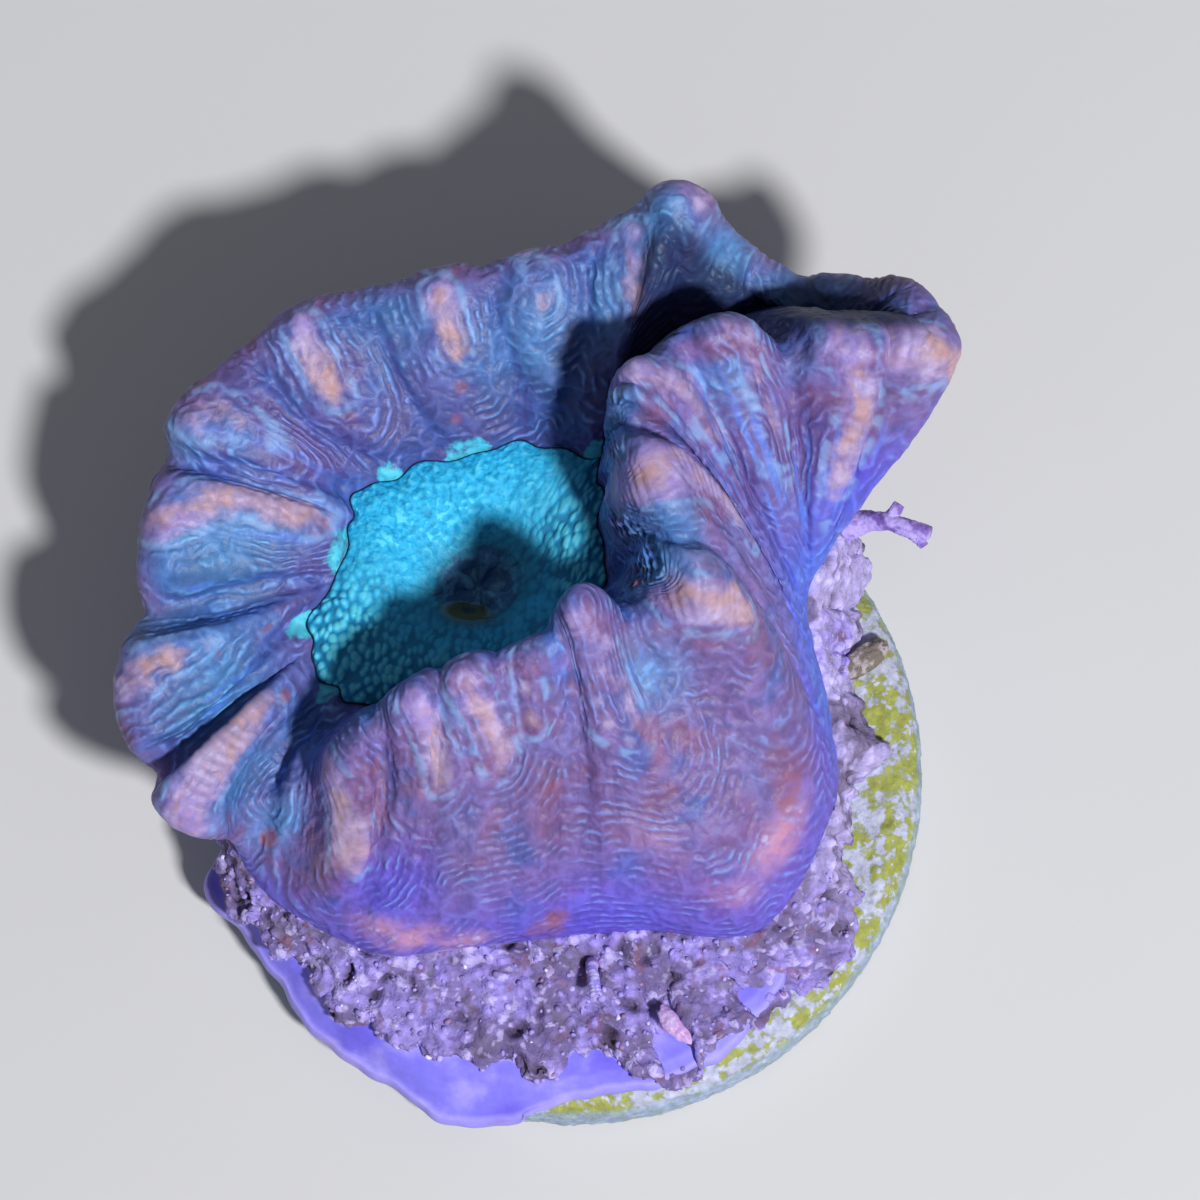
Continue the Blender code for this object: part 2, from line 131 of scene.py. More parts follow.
SKY_COLOUR, SKY_STRENGTH = (0.9, 0.93, 1.0, 1.0), 0.18
world = bpy.data.worlds.new("soft_fill")
world.use_nodes = True
sky = world.node_tree.nodes["Background"].inputs
sky["Color"].default_value = SKY_COLOUR
sky["Strength"].default_value = SKY_STRENGTH
bpy.context.scene.world = world
bpy.context.scene.view_settings.view_transform = "Standard"

FLOOR_HALF = 400.0
corners = [(FLOOR_HALF * x, FLOOR_HALF * y, 0) for x, y in ((-1, -1), (1, -1), (1, 1), (-1, 1))]
floor = bpy.data.objects.new("floor", mesh_from("floor", corners, [(0, 1, 2, 3)]))
floor.data.materials.append(new_material("pale_floor", Base_Color=(0.62, 0.62, 0.63, 1.0), Roughness=0.9)[0])
bpy.context.scene.collection.objects.link(floor)
floor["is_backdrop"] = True
print(f"The camera stands {(EYE - MIDDLE).length / MM:.0f} mm from the coral")

# %% [markdown]
# ## The head: its septa
# Under the flesh of a coral stand radial plates, the septa. Each of them lifts a lobe on the rim.
# So the head is drawn as its septa are: where each starts at the mouth disc, its tip on the rim
# and its foot on the ground. The CAD model uses the same rows, and this skin has many more
# columns and rows between them.

# %% The rows of septa
SEPTA = (
    # name, inner end, rim tip, foot, half-width of the lobe, depth of the cleft after it
    ("notch", (-8.3, 1.8, 7.6), (-9.8, -1.5, 8.4), (-11.1, -4.9, 5.2), 0.10, 0.0),
    ("front_1", (-6.9, 1.5, 7.6), (-8.0, -0.7, 11.9), (-9.0, -6.3, 5.1), 0.22, 0.7),
    ("front_2", (-5.2, 1.9, 7.6), (-5.9, 0.8, 13.2), (-6.8, -7.2, 5.1), 0.18, 0.3),
    ("front_3", (-3.4, 2.4, 7.6), (-3.8, 1.6, 14.2), (-4.5, -7.0, 5.1), 0.18, 0.4),
    ("front_4", (-1.4, 3.0, 7.7), (-1.1, 2.4, 14.6), (-1.2, -6.6, 5.1), 0.15, 0.4),
    ("front_5", (0.3, 4.1, 7.8), (0.3, 3.9, 15.6), (2.4, -6.3, 5.1), 0.30, 0.15),
    ("crease", (1.0, 5.0, 8.0), (2.4, 3.4, 13.7), (6.8, -6.2, 5.1), 0.10, 0.3),
    ("right_1", (1.1, 6.2, 8.0), (4.3, 4.6, 15.2), (9.3, -2.0, 5.1), 0.28, 1.0),
    ("right_2", (1.0, 8.8, 8.0), (2.9, 8.1, 16.0), (9.3, 1.1, 5.2), 0.30, 1.6),
    ("right_3", (1.0, 10.6, 8.0), (2.3, 12.0, 15.6), (8.7, 3.8, 5.6), 0.26, 0.9),
    ("right_4", (2.2, 13.5, 9.0), (5.7, 13.8, 14.8), (8.4, 5.3, 6.1), 0.24, 0.6),
    ("right_5", (6.9, 15.7, 9.4), (9.6, 13.3, 14.3), (8.7, 6.5, 6.5), 0.24, 0.4),
    ("right_6", (10.0, 15.2, 10.1), (12.6, 13.5, 14.0), (9.1, 7.3, 6.6), 0.40, 0.2),
    ("valley_end", (10.9, 14.8, 10.9), (11.6, 15.4, 12.7), (8.4, 8.7, 6.6), 0.20, 0.2),
    ("back_right", (10.0, 15.2, 10.1), (9.3, 15.9, 10.7), (6.4, 10.1, 6.3), 0.20, 0.3),
    ("back_saddle", (6.9, 15.7, 9.4), (6.7, 16.6, 10.6), (4.2, 10.7, 6.1), 0.20, 0.4),
    ("back_peak", (2.2, 13.5, 9.0), (3.8, 18.5, 13.8), (2.0, 11.1, 6.0), 0.22, 0.3),
    ("back_1", (1.0, 10.6, 8.0), (1.3, 17.4, 12.2), (-0.1, 11.2, 6.0), 0.20, 0.2),
    ("back_2", (-1.2, 11.1, 8.0), (-1.3, 16.5, 12.0), (-2.3, 11.2, 6.0), 0.18, 0.2),
    ("back_3", (-3.7, 10.7, 8.0), (-4.6, 15.9, 11.8), (-4.7, 11.1, 6.0), 0.16, 0.25),
    ("back_4", (-6.4, 9.9, 8.0), (-9.5, 14.7, 11.4), (-7.0, 10.1, 6.0), 0.16, 0.3),
    ("back_5", (-8.0, 9.0, 8.0), (-13.4, 11.5, 10.8), (-9.2, 8.5, 5.7), 0.18, 0.8),
    ("left_1", (-8.1, 7.3, 8.0), (-14.4, 7.8, 10.6), (-10.7, 6.2, 5.4), 0.28, 1.5),
    ("left_2", (-9.4, 4.6, 8.0), (-15.3, 1.4, 10.2), (-11.8, 2.6, 5.2), 0.28, 1.9),
    ("left_3", (-9.3, 2.9, 7.8), (-13.5, -2.3, 10.0), (-12.4, -2.2, 5.3), 0.26, 1.2),
)
SEPTUM_NAMES, INNER_ENDS, RIM_TIPS, FEET, LOBE_WIDTHS, CLEFT_DEPTHS = zip(*SEPTA)
print("The septa are", ", ".join(SEPTUM_NAMES))

# %% The columns and rows of the skin
MOUTH = np.array((-3.4, 6.0))
NECK_START, VALLEY_END, NECK_STOP = 9, 13, 17  # rows between which the second valley runs
LIP_RADIUS, ARC_EASE, CLEFT_SOFTNESS = 0.9, 0.55, 0.25
OUTWARD_REACH = 0.6  # how far along the rim the lean of the wall is judged, in septa
FOOT_SHARE = 0.65  # how much of that lean comes from the place of the foot instead
CLEFT_DROP, CLEFT_DRAW_IN, CLEFT_GROOVE = 0.6, 0.3, 0.22  # of the depth of a cleft

# The skin is cut into four sectors, from one septum to another, with this many columns each.
SECTORS = {"flesh_front": (0, 6), "flesh_fold": (6, 13), "flesh_back": (13, 20), "flesh_left": (20, 25)}
SECTOR_COLUMNS = 308
INNER_ROWS, LIP_ROWS, OUTER_ROWS = 128, 28, 156
LIP_SHARE = 0.2  # the lip's share of the reach from the tip to the foot
CAD_LIP_SHARE = 0.3  # the same in the CAD model, whose clefts fade out by this measure

place = []
for first, stop in SECTORS.values():
    each = SECTOR_COLUMNS // (stop - first)
    place += [gap + step / each for gap in range(first, stop) for step in range(each)]
place = np.array(place)
inside = np.linspace(-1, 0, INNER_ROWS + 1)
over_lip = np.linspace(0, LIP_SHARE, LIP_ROWS + 1)[1:]
outside = np.linspace(LIP_SHARE, 1, OUTER_ROWS + 1)[1:]
reach = np.concatenate([inside, over_lip, outside])  # -1 at the mouth disc, 0 at the tip, 1 at the foot
COLUMNS, ROWS = len(place), len(reach)
print(f"The skin between them is a net of {COLUMNS} columns and {ROWS} rows")

# %% [markdown]
# ## The head: its wall
# A closed Catmull-Rom curve runs through the inner ends, one through the tips and one through
# the feet. Between them each column is three Bezier curves: up the inner wall, over the round
# lip, and down the outer wall.

# %% Curves and steps
def smooth_step(low, high, value):
    """0 below low, 1 above high, and an S-curve between them."""
    share = np.clip((value - low) / (high - low), 0, 1)
    return share * share * (3 - 2 * share)


def normals_of(grid):
    """Unit normals of a closed grid whose first direction runs round the piece, against the clock."""
    around = np.roll(grid, -1, axis=0) - np.roll(grid, 1, axis=0)
    normal = np.cross(np.gradient(grid, axis=1), around)
    return normal / np.maximum(np.linalg.norm(normal, axis=2), 1e-9)[:, :, None]


def closed_curve(knots, at):
    """Points of a smooth closed curve: at 0 it is at the first knot, at 1 at the second."""
    knots = np.asarray(knots, float)
    row = np.floor(at).astype(int)
    t = (at - row)[:, None]
    before, here, after, beyond = (knots[(row + step) % len(knots)] for step in (-1, 0, 1, 2))
    return 0.5 * (
        2 * here
        + (after - before) * t
        + (2 * before - 5 * here + 4 * after - beyond) * t**2
        + (3 * here - before - 3 * after + beyond) * t**3
    )


def bezier(t, p0, p1, p2, p3):
    """Points on many cubic Bezier curves at once, one curve for each row of p0."""
    t = np.asarray(t)[None, :, None]
    p0, p1, p2, p3 = (point[:, None, :] for point in (p0, p1, p2, p3))
    return (1 - t) ** 3 * p0 + 3 * (1 - t) ** 2 * t * p1 + 3 * (1 - t) * t**2 * p2 + t**3 * p3


# %% Clefts and scallops
def clefts(at):
    """How far the flesh sinks between the lobes."""
    row = np.floor(at).astype(int) % len(SEPTA)
    share = at - np.floor(at)
    here = np.array(LOBE_WIDTHS)[row]
    after = np.array(LOBE_WIDTHS)[(row + 1) % len(SEPTA)]
    leaving = smooth_step(here, here + CLEFT_SOFTNESS, share)
    arriving = smooth_step(after, after + CLEFT_SOFTNESS, 1 - share)
    return np.array(CLEFT_DEPTHS)[row] * np.minimum(leaving, arriving)


def unit(vectors):
    """The same vectors, each 1 long."""
    return vectors / np.linalg.norm(vectors, axis=1)[:, None]


def scallops():
    """Small waves of the skin's inner edge; there are none where the two walls of the valley meet."""
    turns = place / len(SEPTA)
    waves = 0.12 * np.sin(2 * math.pi * 22 * turns) + 0.08 * np.sin(2 * math.pi * 37 * turns + 1)
    waves *= smooth_step(NECK_START, NECK_START - 0.7, place) + smooth_step(NECK_STOP, NECK_STOP + 0.7, place)
    return waves[:, None] * unit(closed_curve(INNER_ENDS, place) * (1, 1, 0) - (*MOUTH, 0))


# %% The wall of the cup
RIM_NICKS = (
    # septum, half-width in septa, how far the rim is bent outwards
    (10.45, 0.42, 0.75),
    (9.30, 0.30, 0.35),
    (8.62, 0.12, 0.25),
    (8.85, 0.10, 0.20),
)
INNER_HANDLES = (0.18, 0.5, 1.2)  # share of the level way, share of the rise, and how far in from the tip
OUTER_HANDLE = 0.4  # share of the fall


def head_walls():
    """The points of the skin before it has any wrinkles: one column for each place round the rim."""
    mirrored = np.where((place > VALLEY_END) & (place <= NECK_STOP), 2 * VALLEY_END - place, place)
    inner = closed_curve(INNER_ENDS, mirrored) + scallops()
    tip = closed_curve(RIM_TIPS, place)
    foot = closed_curve(FEET, place)
    along = closed_curve(RIM_TIPS, place + OUTWARD_REACH) - closed_curve(RIM_TIPS, place - OUTWARD_REACH)
    out = unit(np.stack([along[:, 1], -along[:, 0], np.zeros(COLUMNS)], axis=1))
    to_foot = unit((foot - tip) * (1, 1, 0))
    share = FOOT_SHARE * np.maximum(np.sum(to_foot * out, axis=1), 0)[:, None]
    out = unit(out * (1 - share) + to_foot * share)
    up = np.array([0.0, 0.0, 1.0])
    sunk = clefts(place)[:, None]
    tip = tip - sunk * (CLEFT_DROP * up + CLEFT_DRAW_IN * out)
    for septum, half, depth in RIM_NICKS:
        tip = tip + (depth * smooth_step(half, 0, np.abs(place - septum)))[:, None] * (out - 0.5 * up)
    rise, drop = (tip - inner)[:, 2:], (tip - foot)[:, 2:]
    level = (tip - inner) * (1, 1, 0)
    slope = np.maximum(np.sum((foot - tip) * out, axis=1)[:, None] / drop, 0)
    steepness = np.hypot(1, slope)
    down = (out * slope - up) / steepness
    nose = tip - up * LIP_RADIUS + (out + up * slope) / steepness * LIP_RADIUS
    ease = ARC_EASE * LIP_RADIUS * np.arctan2(1, slope) / (math.pi / 2)
    fall = (nose - foot)[:, 2:]
    lip_t = over_lip / LIP_SHARE
    outer_t = (outside - LIP_SHARE) / (1 - LIP_SHARE)
    level_share, rise_share, from_tip = INNER_HANDLES
    start = inner + level_share * level + up * rise_share * rise
    walls = np.concatenate(
        [
            bezier(inside + 1, inner, start, tip - out * from_tip, tip),
            bezier(lip_t, tip, tip + out * ease, nose - down * ease, nose),
            bezier(outer_t, nose, nose + down * OUTER_HANDLE * fall, foot + up * OUTER_HANDLE * fall, foot),
        ],
        axis=1,
    )
    past_tip = np.concatenate([CAD_LIP_SHARE * lip_t, CAD_LIP_SHARE + (1 - CAD_LIP_SHARE) * outer_t])
    groove_in = smooth_step(0.1, 0.6, inside + 1)
    groove_out = 1 - 0.6 * smooth_step(0.0, 0.3, past_tip) - 0.4 * smooth_step(0.35, 0.9, past_tip)
    groove = np.concatenate([groove_in, groove_out])
    return walls - normals_of(walls) * (CLEFT_GROOVE * sunk * groove[None, :])[:, :, None]


walls = head_walls()
wall_normals = normals_of(walls)
print("The bare wall reaches from", walls.min(axis=(0, 1)).round(1), "to", walls.max(axis=(0, 1)).round(1))

# %% [markdown]
# ## The head: where its markings lie
# The pattern of this coral is simple once it is seen: every lobe carries a warm patch, and thin
# blue lines run round the patches like the contour lines of a map. So the markings are stated as
# short strokes on the skin. A place on the skin is a pair: which septum, and its reach, which is
# -1 at the mouth disc, 0 at the tip of the rim and 1 at the foot. The distance to the nearest
# stroke then gives both the lines and the swelling of the lobes.

# %% The patches on the lobes
LOBES = (
    # the stroke, half its width, how its rings are drawn out inwards and outwards (1 is not at
    # all), how orange it is, how strong its colour is, how far it swells
    (((0.65, 0.06), (0.85, 0.32), (1.20, 0.56)), 0.66, 1.0, 0.8, 0.70, 0.80, 0.9),
    (((2.15, 0.06), (2.35, 0.26), (2.70, 0.42)), 0.50, 1.0, 0.9, 0.45, 0.85, 0.9),
    (((3.00, 0.08), (3.25, 0.30), (3.45, 0.42)), 0.50, 1.0, 0.9, 0.60, 0.70, 0.9),
    (((3.72, 0.08), (3.80, 0.34)), 0.34, 1.0, 0.9, 0.90, 0.45, 0.4),
    (((5.05, 0.04), (5.12, 0.24), (5.30, 0.42)), 1.05, 1.0, 0.9, 0.40, 0.36, 0.6),
    (((6.55, -0.10), (6.80, 0.06), (7.05, 0.28)), 0.66, 0.5, 0.6, 0.60, 0.85, 0.7),
    (((7.98, -0.45), (8.00, -0.05), (8.12, 0.20), (8.35, 0.40)), 0.80, 0.4, 0.40, 0.25, 0.9, 0.7),
    (((8.93, -0.08), (9.05, 0.10), (9.40, 0.30)), 0.52, 0.4, 0.25, 0.45, 0.60, 0.7),
    (((9.95, 0.00), (10.08, 0.20), (10.22, 0.36)), 0.34, 0.4, 0.22, 0.70, 0.55, 0.7),
    (((10.95, -0.02), (11.15, 0.20), (11.30, 0.38), (11.18, 0.46)), 0.46, 0.4, 0.22, 0.55, 0.85, 0.9),
    (((11.50, -0.05), (11.80, -0.02), (12.02, 0.08), (12.08, 0.34)), 0.55, 0.5, 0.40, 0.90, 0.90, 0.9),
    (((16.15, 0.20), (15.80, 0.10)), 0.60, 0.6, 0.6, 0.30, 0.5, 0.5),
    (((16.70, -0.20), (16.42, -0.45)), 0.70, 0.8, 0.6, 1.00, 0.6, 0.3),
    (((18.00, -0.08), (17.98, -0.24)), 0.40, 0.9, 0.9, 0.80, 0.35, 0.3),
    (((19.05, -0.06), (19.00, -0.38)), 0.50, 0.9, 0.9, 1.00, 0.8, 0.3),
    (((20.05, -0.02), (20.10, -0.40)), 0.48, 0.7, 0.9, 1.00, 0.85, 0.35),
    (((21.05, 0.03), (20.85, -0.10)), 0.50, 0.3, 0.9, 0.80, 0.42, 0.4),
    (((22.05, 0.05), (21.85, -0.20), (21.68, -0.40), (21.75, -0.66)), 0.60, 0.5, 0.8, 0.60, 0.80, 0.7),
    (((22.95, 0.10), (22.80, -0.10)), 0.55, 0.35, 0.8, 0.85, 0.65, 0.8),
    (((24.00, 0.12), (23.98, -0.20), (23.75, -0.48)), 0.80, 0.5, 0.8, 0.55, 0.85, 0.9),
    # the far side of the rim, which carries the same lobes
    (((14.00, 0.15), (14.00, 0.40)), 0.40, 0.8, 0.8, 0.50, 0.5, 0.4),
    (((17.00, 0.20), (17.00, 0.50)), 0.45, 0.8, 0.8, 0.50, 0.7, 0.4),
    (((18.10, 0.18), (18.00, 0.42)), 0.36, 0.8, 0.8, 0.60, 0.7, 0.4),
    (((19.00, 0.20), (19.00, 0.48)), 0.42, 0.8, 0.8, 0.40, 0.7, 0.4),
    (((20.00, 0.20), (20.00, 0.50)), 0.45, 0.8, 0.8, 0.50, 0.7, 0.4),
    (((21.00, 0.18), (21.10, 0.50)), 0.45, 0.8, 0.8, 0.60, 0.7, 0.6),
    (((22.05, 0.25), (22.10, 0.52)), 0.45, 0.8, 0.8, 0.50, 0.7, 0.7),
    (((23.00, 0.25), (23.05, 0.52)), 0.45, 0.8, 0.8, 0.40, 0.7, 0.7),
)
print(len(LOBES), "warm patches")

# %% [markdown]
# ## The head: its other markings
# Small rusty spots lie between the lobes, broad warm glows low on the wall, and some places are
# bluer or more purple than the rest. Each marking is a round place on the skin with soft edges.
# Two kinds change the course of the lines: in a stream they run straight down the wall between
# two lobes, and in a terrace the flesh lies in steps that are level with the rim.

# %% Spots, glows and zones
SPOTS = (
    # septum, reach, radius, strength
    (4.15, 0.86, 0.55, 0.9),
    (19.00, -0.59, 0.30, 0.9),
    (19.10, -0.74, 0.24, 0.8),
    (20.10, -0.57, 0.26, 0.9),
    (21.75, -0.82, 0.16, 0.9),
    (22.85, -0.69, 0.18, 0.8),
    (22.90, -0.45, 0.16, 0.5),
    (24.00, -0.72, 0.26, 0.8),
    (24.35, 0.11, 0.30, 0.8),
    (24.75, 0.49, 0.45, 0.9),
    (1.40, 0.30, 0.30, 0.6),
    (4.00, 0.52, 0.60, 0.5),
    (5.65, 0.42, 0.80, 0.5),
    (6.65, 0.69, 0.90, 0.7),
    (6.60, -0.50, 0.35, 0.8),
    (4.05, 0.92, 0.80, 0.7),
)
GLOWS = (
    # septum, reach, radius, strength
    (6.42, 0.76, 2.3, 1.0),
    (5.90, 0.80, 1.6, 0.5),
    (1.85, 0.82, 1.5, 0.9),
    (2.45, 0.87, 1.8, 1.0),
    (3.15, 0.92, 1.6, 1.0),
    (4.10, 0.88, 0.9, 0.5),
    (1.00, 0.55, 1.6, 0.35),
    (5.30, 0.66, 1.8, 0.35),
)
ZONES = (
    # tint, septum, reach, radius, strength
    ("cyan", 22.2, -0.35, 3.4, 1.0),
    ("cyan", 22.6, 0.05, 2.0, 0.8),
    ("cyan", 23.3, -0.40, 3.2, 1.0),
    ("cyan", 24.4, -0.20, 2.6, 0.8),
    ("cyan", 24.8, 0.30, 1.8, 0.9),
    ("cyan", 21.3, 0.05, 1.4, 0.8),
    ("cyan", 19.5, -0.15, 2.0, 0.5),
    ("cyan", 18.2, -0.45, 3.2, 0.8),
    ("cyan", 17.2, -0.35, 2.6, 0.8),
    ("cyan", 16.4, -0.10, 2.2, 0.9),
    ("cyan", 5.9, 0.30, 2.2, 0.7),
    ("cyan", 7.3, -0.35, 2.6, 1.0),
    ("cyan", 7.5, 0.05, 2.2, 0.9),
    ("cyan", 8.5, -0.30, 2.0, 0.8),
    ("cyan", 9.7, 0.30, 1.4, 0.6),
    ("cyan", 10.6, 0.15, 1.0, 0.4),
    ("cyan", 1.5, -0.30, 1.6, 0.5),
    ("purple", 20.7, -0.60, 2.6, 1.0),
    ("purple", 20.6, -0.25, 1.6, 0.8),
    ("purple", 22.4, -0.80, 1.8, 0.7),
    ("purple", 19.6, -0.30, 1.8, 0.6),
    ("purple", 18.5, -0.70, 2.0, 0.6),
    ("purple", 9.4, 0.50, 1.8, 0.8),
    ("purple", 10.6, 0.45, 2.0, 0.9),
    ("purple", 7.4, 0.40, 1.6, 0.3),
    ("purple", 4.4, 0.60, 3.0, 0.5),
    ("purple", 2.2, 0.65, 3.0, 0.4),
    ("violet", 12.3, 0.45, 2.6, 1.0),
    ("violet", 11.7, 0.60, 2.6, 1.0),
    ("violet", 1.9, 0.68, 2.6, 0.8),
    ("cyan", 14.4, -0.05, 2.4, 1.0),
    ("cyan", 15.4, -0.10, 2.4, 1.0),
    ("violet", 4.6, 0.90, 3.0, 0.7),
    ("violet", 7.4, 0.75, 2.2, 0.8),
)
print(len(SPOTS), "spots,", len(GLOWS), "glows and", len(ZONES), "zones")

# %% Streams, terraces, hems and caps
STREAMS = (
    # septum, reach, radius, strength
    (21.50, -0.45, 2.6, 1.0),
    (22.50, -0.35, 2.2, 1.0),
    (23.42, -0.35, 2.0, 1.0),
    (8.45, 0.40, 1.6, 0.9),
    (9.45, 0.45, 2.2, 1.0),
    (10.50, 0.50, 2.4, 1.0),
    (11.50, 0.60, 2.2, 1.0),
    (12.60, 0.45, 2.4, 1.0),
    (4.45, 0.20, 1.6, 0.7),
    (5.75, 0.20, 1.8, 0.7),
)
TERRACES = (
    # septum, reach, radius, strength
    (7.25, -0.48, 2.4, 1.0),
    (7.75, -0.62, 1.8, 1.0),
    (8.30, -0.40, 1.8, 1.0),
    (8.85, -0.26, 1.1, 0.9),
)
HEMS = (
    # septum, reach, radius, strength of the pale hem where the flesh meets the ground in front
    (1.50, 1.0, 1.0, 0.8),
    (2.20, 1.0, 1.3, 1.0),
    (2.90, 1.0, 1.3, 1.0),
    (3.50, 1.0, 1.0, 0.8),
)
STREAM_STRETCH = 0.6  # a stream is longer than it is wide
CAPS = (
    # septum, half the width of the disc's cyan on the wall
    (17.10, 0.5),
    (19.05, 0.9),
    (20.10, 0.5),
    (22.10, 0.9),
    (23.05, 0.6),
    (24.60, 0.4),
)
CAP_REACH = 0.9  # how far up the wall that cyan goes
print(len(STREAMS), "streams,", len(TERRACES), "terraces,", len(HEMS), "hems and", len(CAPS), "caps")

# %% [markdown]
# ## The head: measuring on the skin
# A distance over the skin is not a distance through the air, because the wall is folded. So the
# net is measured along its rows and its columns once, and each marking is laid out by those
# lengths, the shorter way round the head.

# %% Distances on the skin
round_steps = np.linalg.norm(np.roll(walls, -1, axis=0) - walls, axis=2)
across_mm = np.cumsum(round_steps, axis=0) - round_steps
girth = round_steps.sum(axis=0)
down_steps = np.linalg.norm(np.diff(walls, axis=1), axis=2)
along_mm = np.concatenate([np.zeros((COLUMNS, 1)), np.cumsum(down_steps, axis=1)], axis=1)


def spot_on_skin(septum, at):
    """Where one place lies: how far round, for every row, and how far along, for every column."""
    column = np.interp(septum, place, np.arange(COLUMNS))
    low, share = int(column), column - int(column)
    around = across_mm[low] * (1 - share) + across_mm[(low + 1) % COLUMNS] * share
    row = np.interp(at, reach, np.arange(ROWS))
    low, share = int(row), row - int(row)
    along = along_mm[:, low] * (1 - share) + along_mm[:, min(low + 1, ROWS - 1)] * share
    return around[None, :], along[:, None]


def offsets_to(around, along):
    """How far round and how far along the skin every point is from there, the shorter way round."""
    return (across_mm - around + girth / 2) % girth - girth / 2, along_mm - along


def stroke_distance(stroke, stretch_in, stretch_out):
    """Distance to a stroke, and the way along it. A stretch below 1 draws its rings out that way."""
    nearest, travelled, length = np.inf, 0.0, 0.0
    ends = [spot_on_skin(*point) for point in stroke]
    for start, stop in zip(ends, ends[1:]):
        x, y = offsets_to(*start)
        dx, dy = stop[0] - start[0], stop[1] - start[1]
        span = dx * dx + dy * dy
        t = np.clip((x * dx + y * dy) / span, 0, 1)
        x, y = x - t * dx, y - t * dy
        distance = np.hypot(x, np.where(y > 0, y * stretch_out, y * stretch_in))
        travelled = np.where(distance < nearest, length + t * np.sqrt(span), travelled)
        nearest = np.minimum(nearest, distance)
        length = length + np.sqrt(span)
    return nearest, travelled


print(f"The foot is {girth[-1]:.0f} mm round, and the wall is up to {along_mm.max():.0f} mm long")

# %% [markdown]
# ## The head: rings, patches and swellings
# Every point finds its nearest stroke. Its distance to that stroke numbers the rings, and the
# next nearest tells where two lobes meet in a cleft. The inner part of a patch, its core, is
# the most orange.

# %% Rings round the lobes
FAR_AWAY = 1e3
PATCH_EDGE = 0.5
ring = np.full((COLUMNS, ROWS), FAR_AWAY)
second = ring.copy()
patch, warm, rib, swell, core = (np.zeros((COLUMNS, ROWS)) for _ in range(5))
for stroke, half, stretch_in, stretch_out, warmth, strength, height in LOBES:
    distance, way = stroke_distance(stroke, stretch_in, stretch_out)
    distance = distance - half
    closer = distance < ring
    second = np.where(closer, ring, np.minimum(second, distance))
    ring = np.where(closer, distance, ring)
    warm = np.where(closer, warmth * (0.1 + 0.9 * way / way.max()), warm)
    rib = np.where(closer, way, rib)
    patch = np.maximum(patch, strength * smooth_step(PATCH_EDGE, -PATCH_EDGE, distance))
    core = np.maximum(core, strength * smooth_step(-0.05, -0.75 * half, distance))
    swell = np.maximum(swell, height * smooth_step(1.3, -0.4, distance))
print(f"{patch.astype(bool).mean():.0%} of the skin is under a patch, and rings reach {ring.max():.1f} mm")

# %% Round markings
def circles(rows, squash=1.0, edge=0.55):
    """Soft round markings, as one value on every point."""
    made = np.zeros((COLUMNS, ROWS))
    for septum, at, radius, strength in rows:
        x, y = offsets_to(*spot_on_skin(septum, at))
        made = np.maximum(made, strength * smooth_step(1.15, edge, np.hypot(x, y * squash) / radius))
    return made


spot = circles(SPOTS)
hem = circles(HEMS, squash=2.6, edge=0.3)
glow = circles(GLOWS, squash=1.7, edge=0.1)
terrace = circles(TERRACES, edge=0.4) * (1 - patch)
cyan, purple, violet = (
    circles([row[1:] for row in ZONES if row[0] == kind], edge=0.1) for kind in ("cyan", "purple", "violet")
)
cap = np.zeros((COLUMNS, ROWS))
for septum, half in CAPS:
    x, y = offsets_to(*spot_on_skin(septum, -1.0))
    cap = np.maximum(cap, smooth_step(1.25, 0.7, np.hypot(x / half, y / CAP_REACH)))
print(f"{(spot > 0).mean():.1%} of the skin is spotted, and {(cap > 0).mean():.1%} is under a cap")

# %% [markdown]
# ## The head: the course of its lines
# Away from the streams and terraces the lines simply number the rings. Near one, their course is
# drawn towards it, the more the nearer it is. Order says how firmly the lines hold together
# there, because elsewhere the wrinkles break up into a web.

# %% Streams and terraces
stream, pull = np.zeros_like(ring), np.full_like(ring, 1e-6)
for septum, at, radius, strength in STREAMS + TERRACES:
    x, y = offsets_to(*spot_on_skin(septum, at))
    column, row = np.searchsorted(place, septum), np.searchsorted(reach, at)
    level = (septum, at, radius, strength) in TERRACES
    share = strength * smooth_step(1.2, 0.3, np.hypot(x, y if level else y * STREAM_STRETCH) / radius)
    stream, pull = stream + share * (ring[column, row] + (y if level else -np.abs(x))), pull + share
order = np.clip(pull, 0, 1)
course = ring + order * (stream / pull - ring)
print(f"{(order > 0.5).mean():.0%} of the lines run down or level")

# %% [markdown]
# ## The head: masks
# The last values tell the materials where they are: deep in the second valley, on the inner
# wall, in a cleft, low down, at the waist under the right lobes. Combed lobes carry fine ribs
# across. The flow is a place whose way down the wall is shortened, so that a noise on it comes
# out as long streaks.

# %% Masks
def within(value, start, full, fading, stop):
    """0 up to start, 1 from full to fading, and 0 again from stop on."""
    return smooth_step(start, full, value) * smooth_step(stop, fading, value)


lap = place / len(SEPTA) * math.tau
LAP_RADIUS, FLOW_STRETCH = 13.0, 0.14  # streaks are seven times as long as they are wide
flow = np.stack(
    [
        np.broadcast_to(LAP_RADIUS * np.cos(lap)[:, None], ring.shape),
        np.broadcast_to(LAP_RADIUS * np.sin(lap)[:, None], ring.shape),
        along_mm * FLOW_STRETCH,
    ],
    axis=2,
) * MM
in_valley = within(place, NECK_START - 0.1, NECK_START + 0.5, NECK_STOP - 0.8, NECK_STOP - 0.1)
at_saddle = within(place, 12.9, 13.5, 14.3, 15.0)
# This mask tells the material where to paint the shade of the second valley and of the saddle's upper outer
# wall.
deep = in_valley[:, None] * smooth_step(-0.02, -0.3, reach)
deep = np.maximum(deep, at_saddle[:, None] * smooth_step(0.2, 0.05, reach))
combed = within(place, 6.0, 6.4, 12.2, 12.6) + smooth_step(21.4, 21.8, place)
comb = patch * combed[:, None]
inner = smooth_step(0.12, -0.1, reach)[None, :]
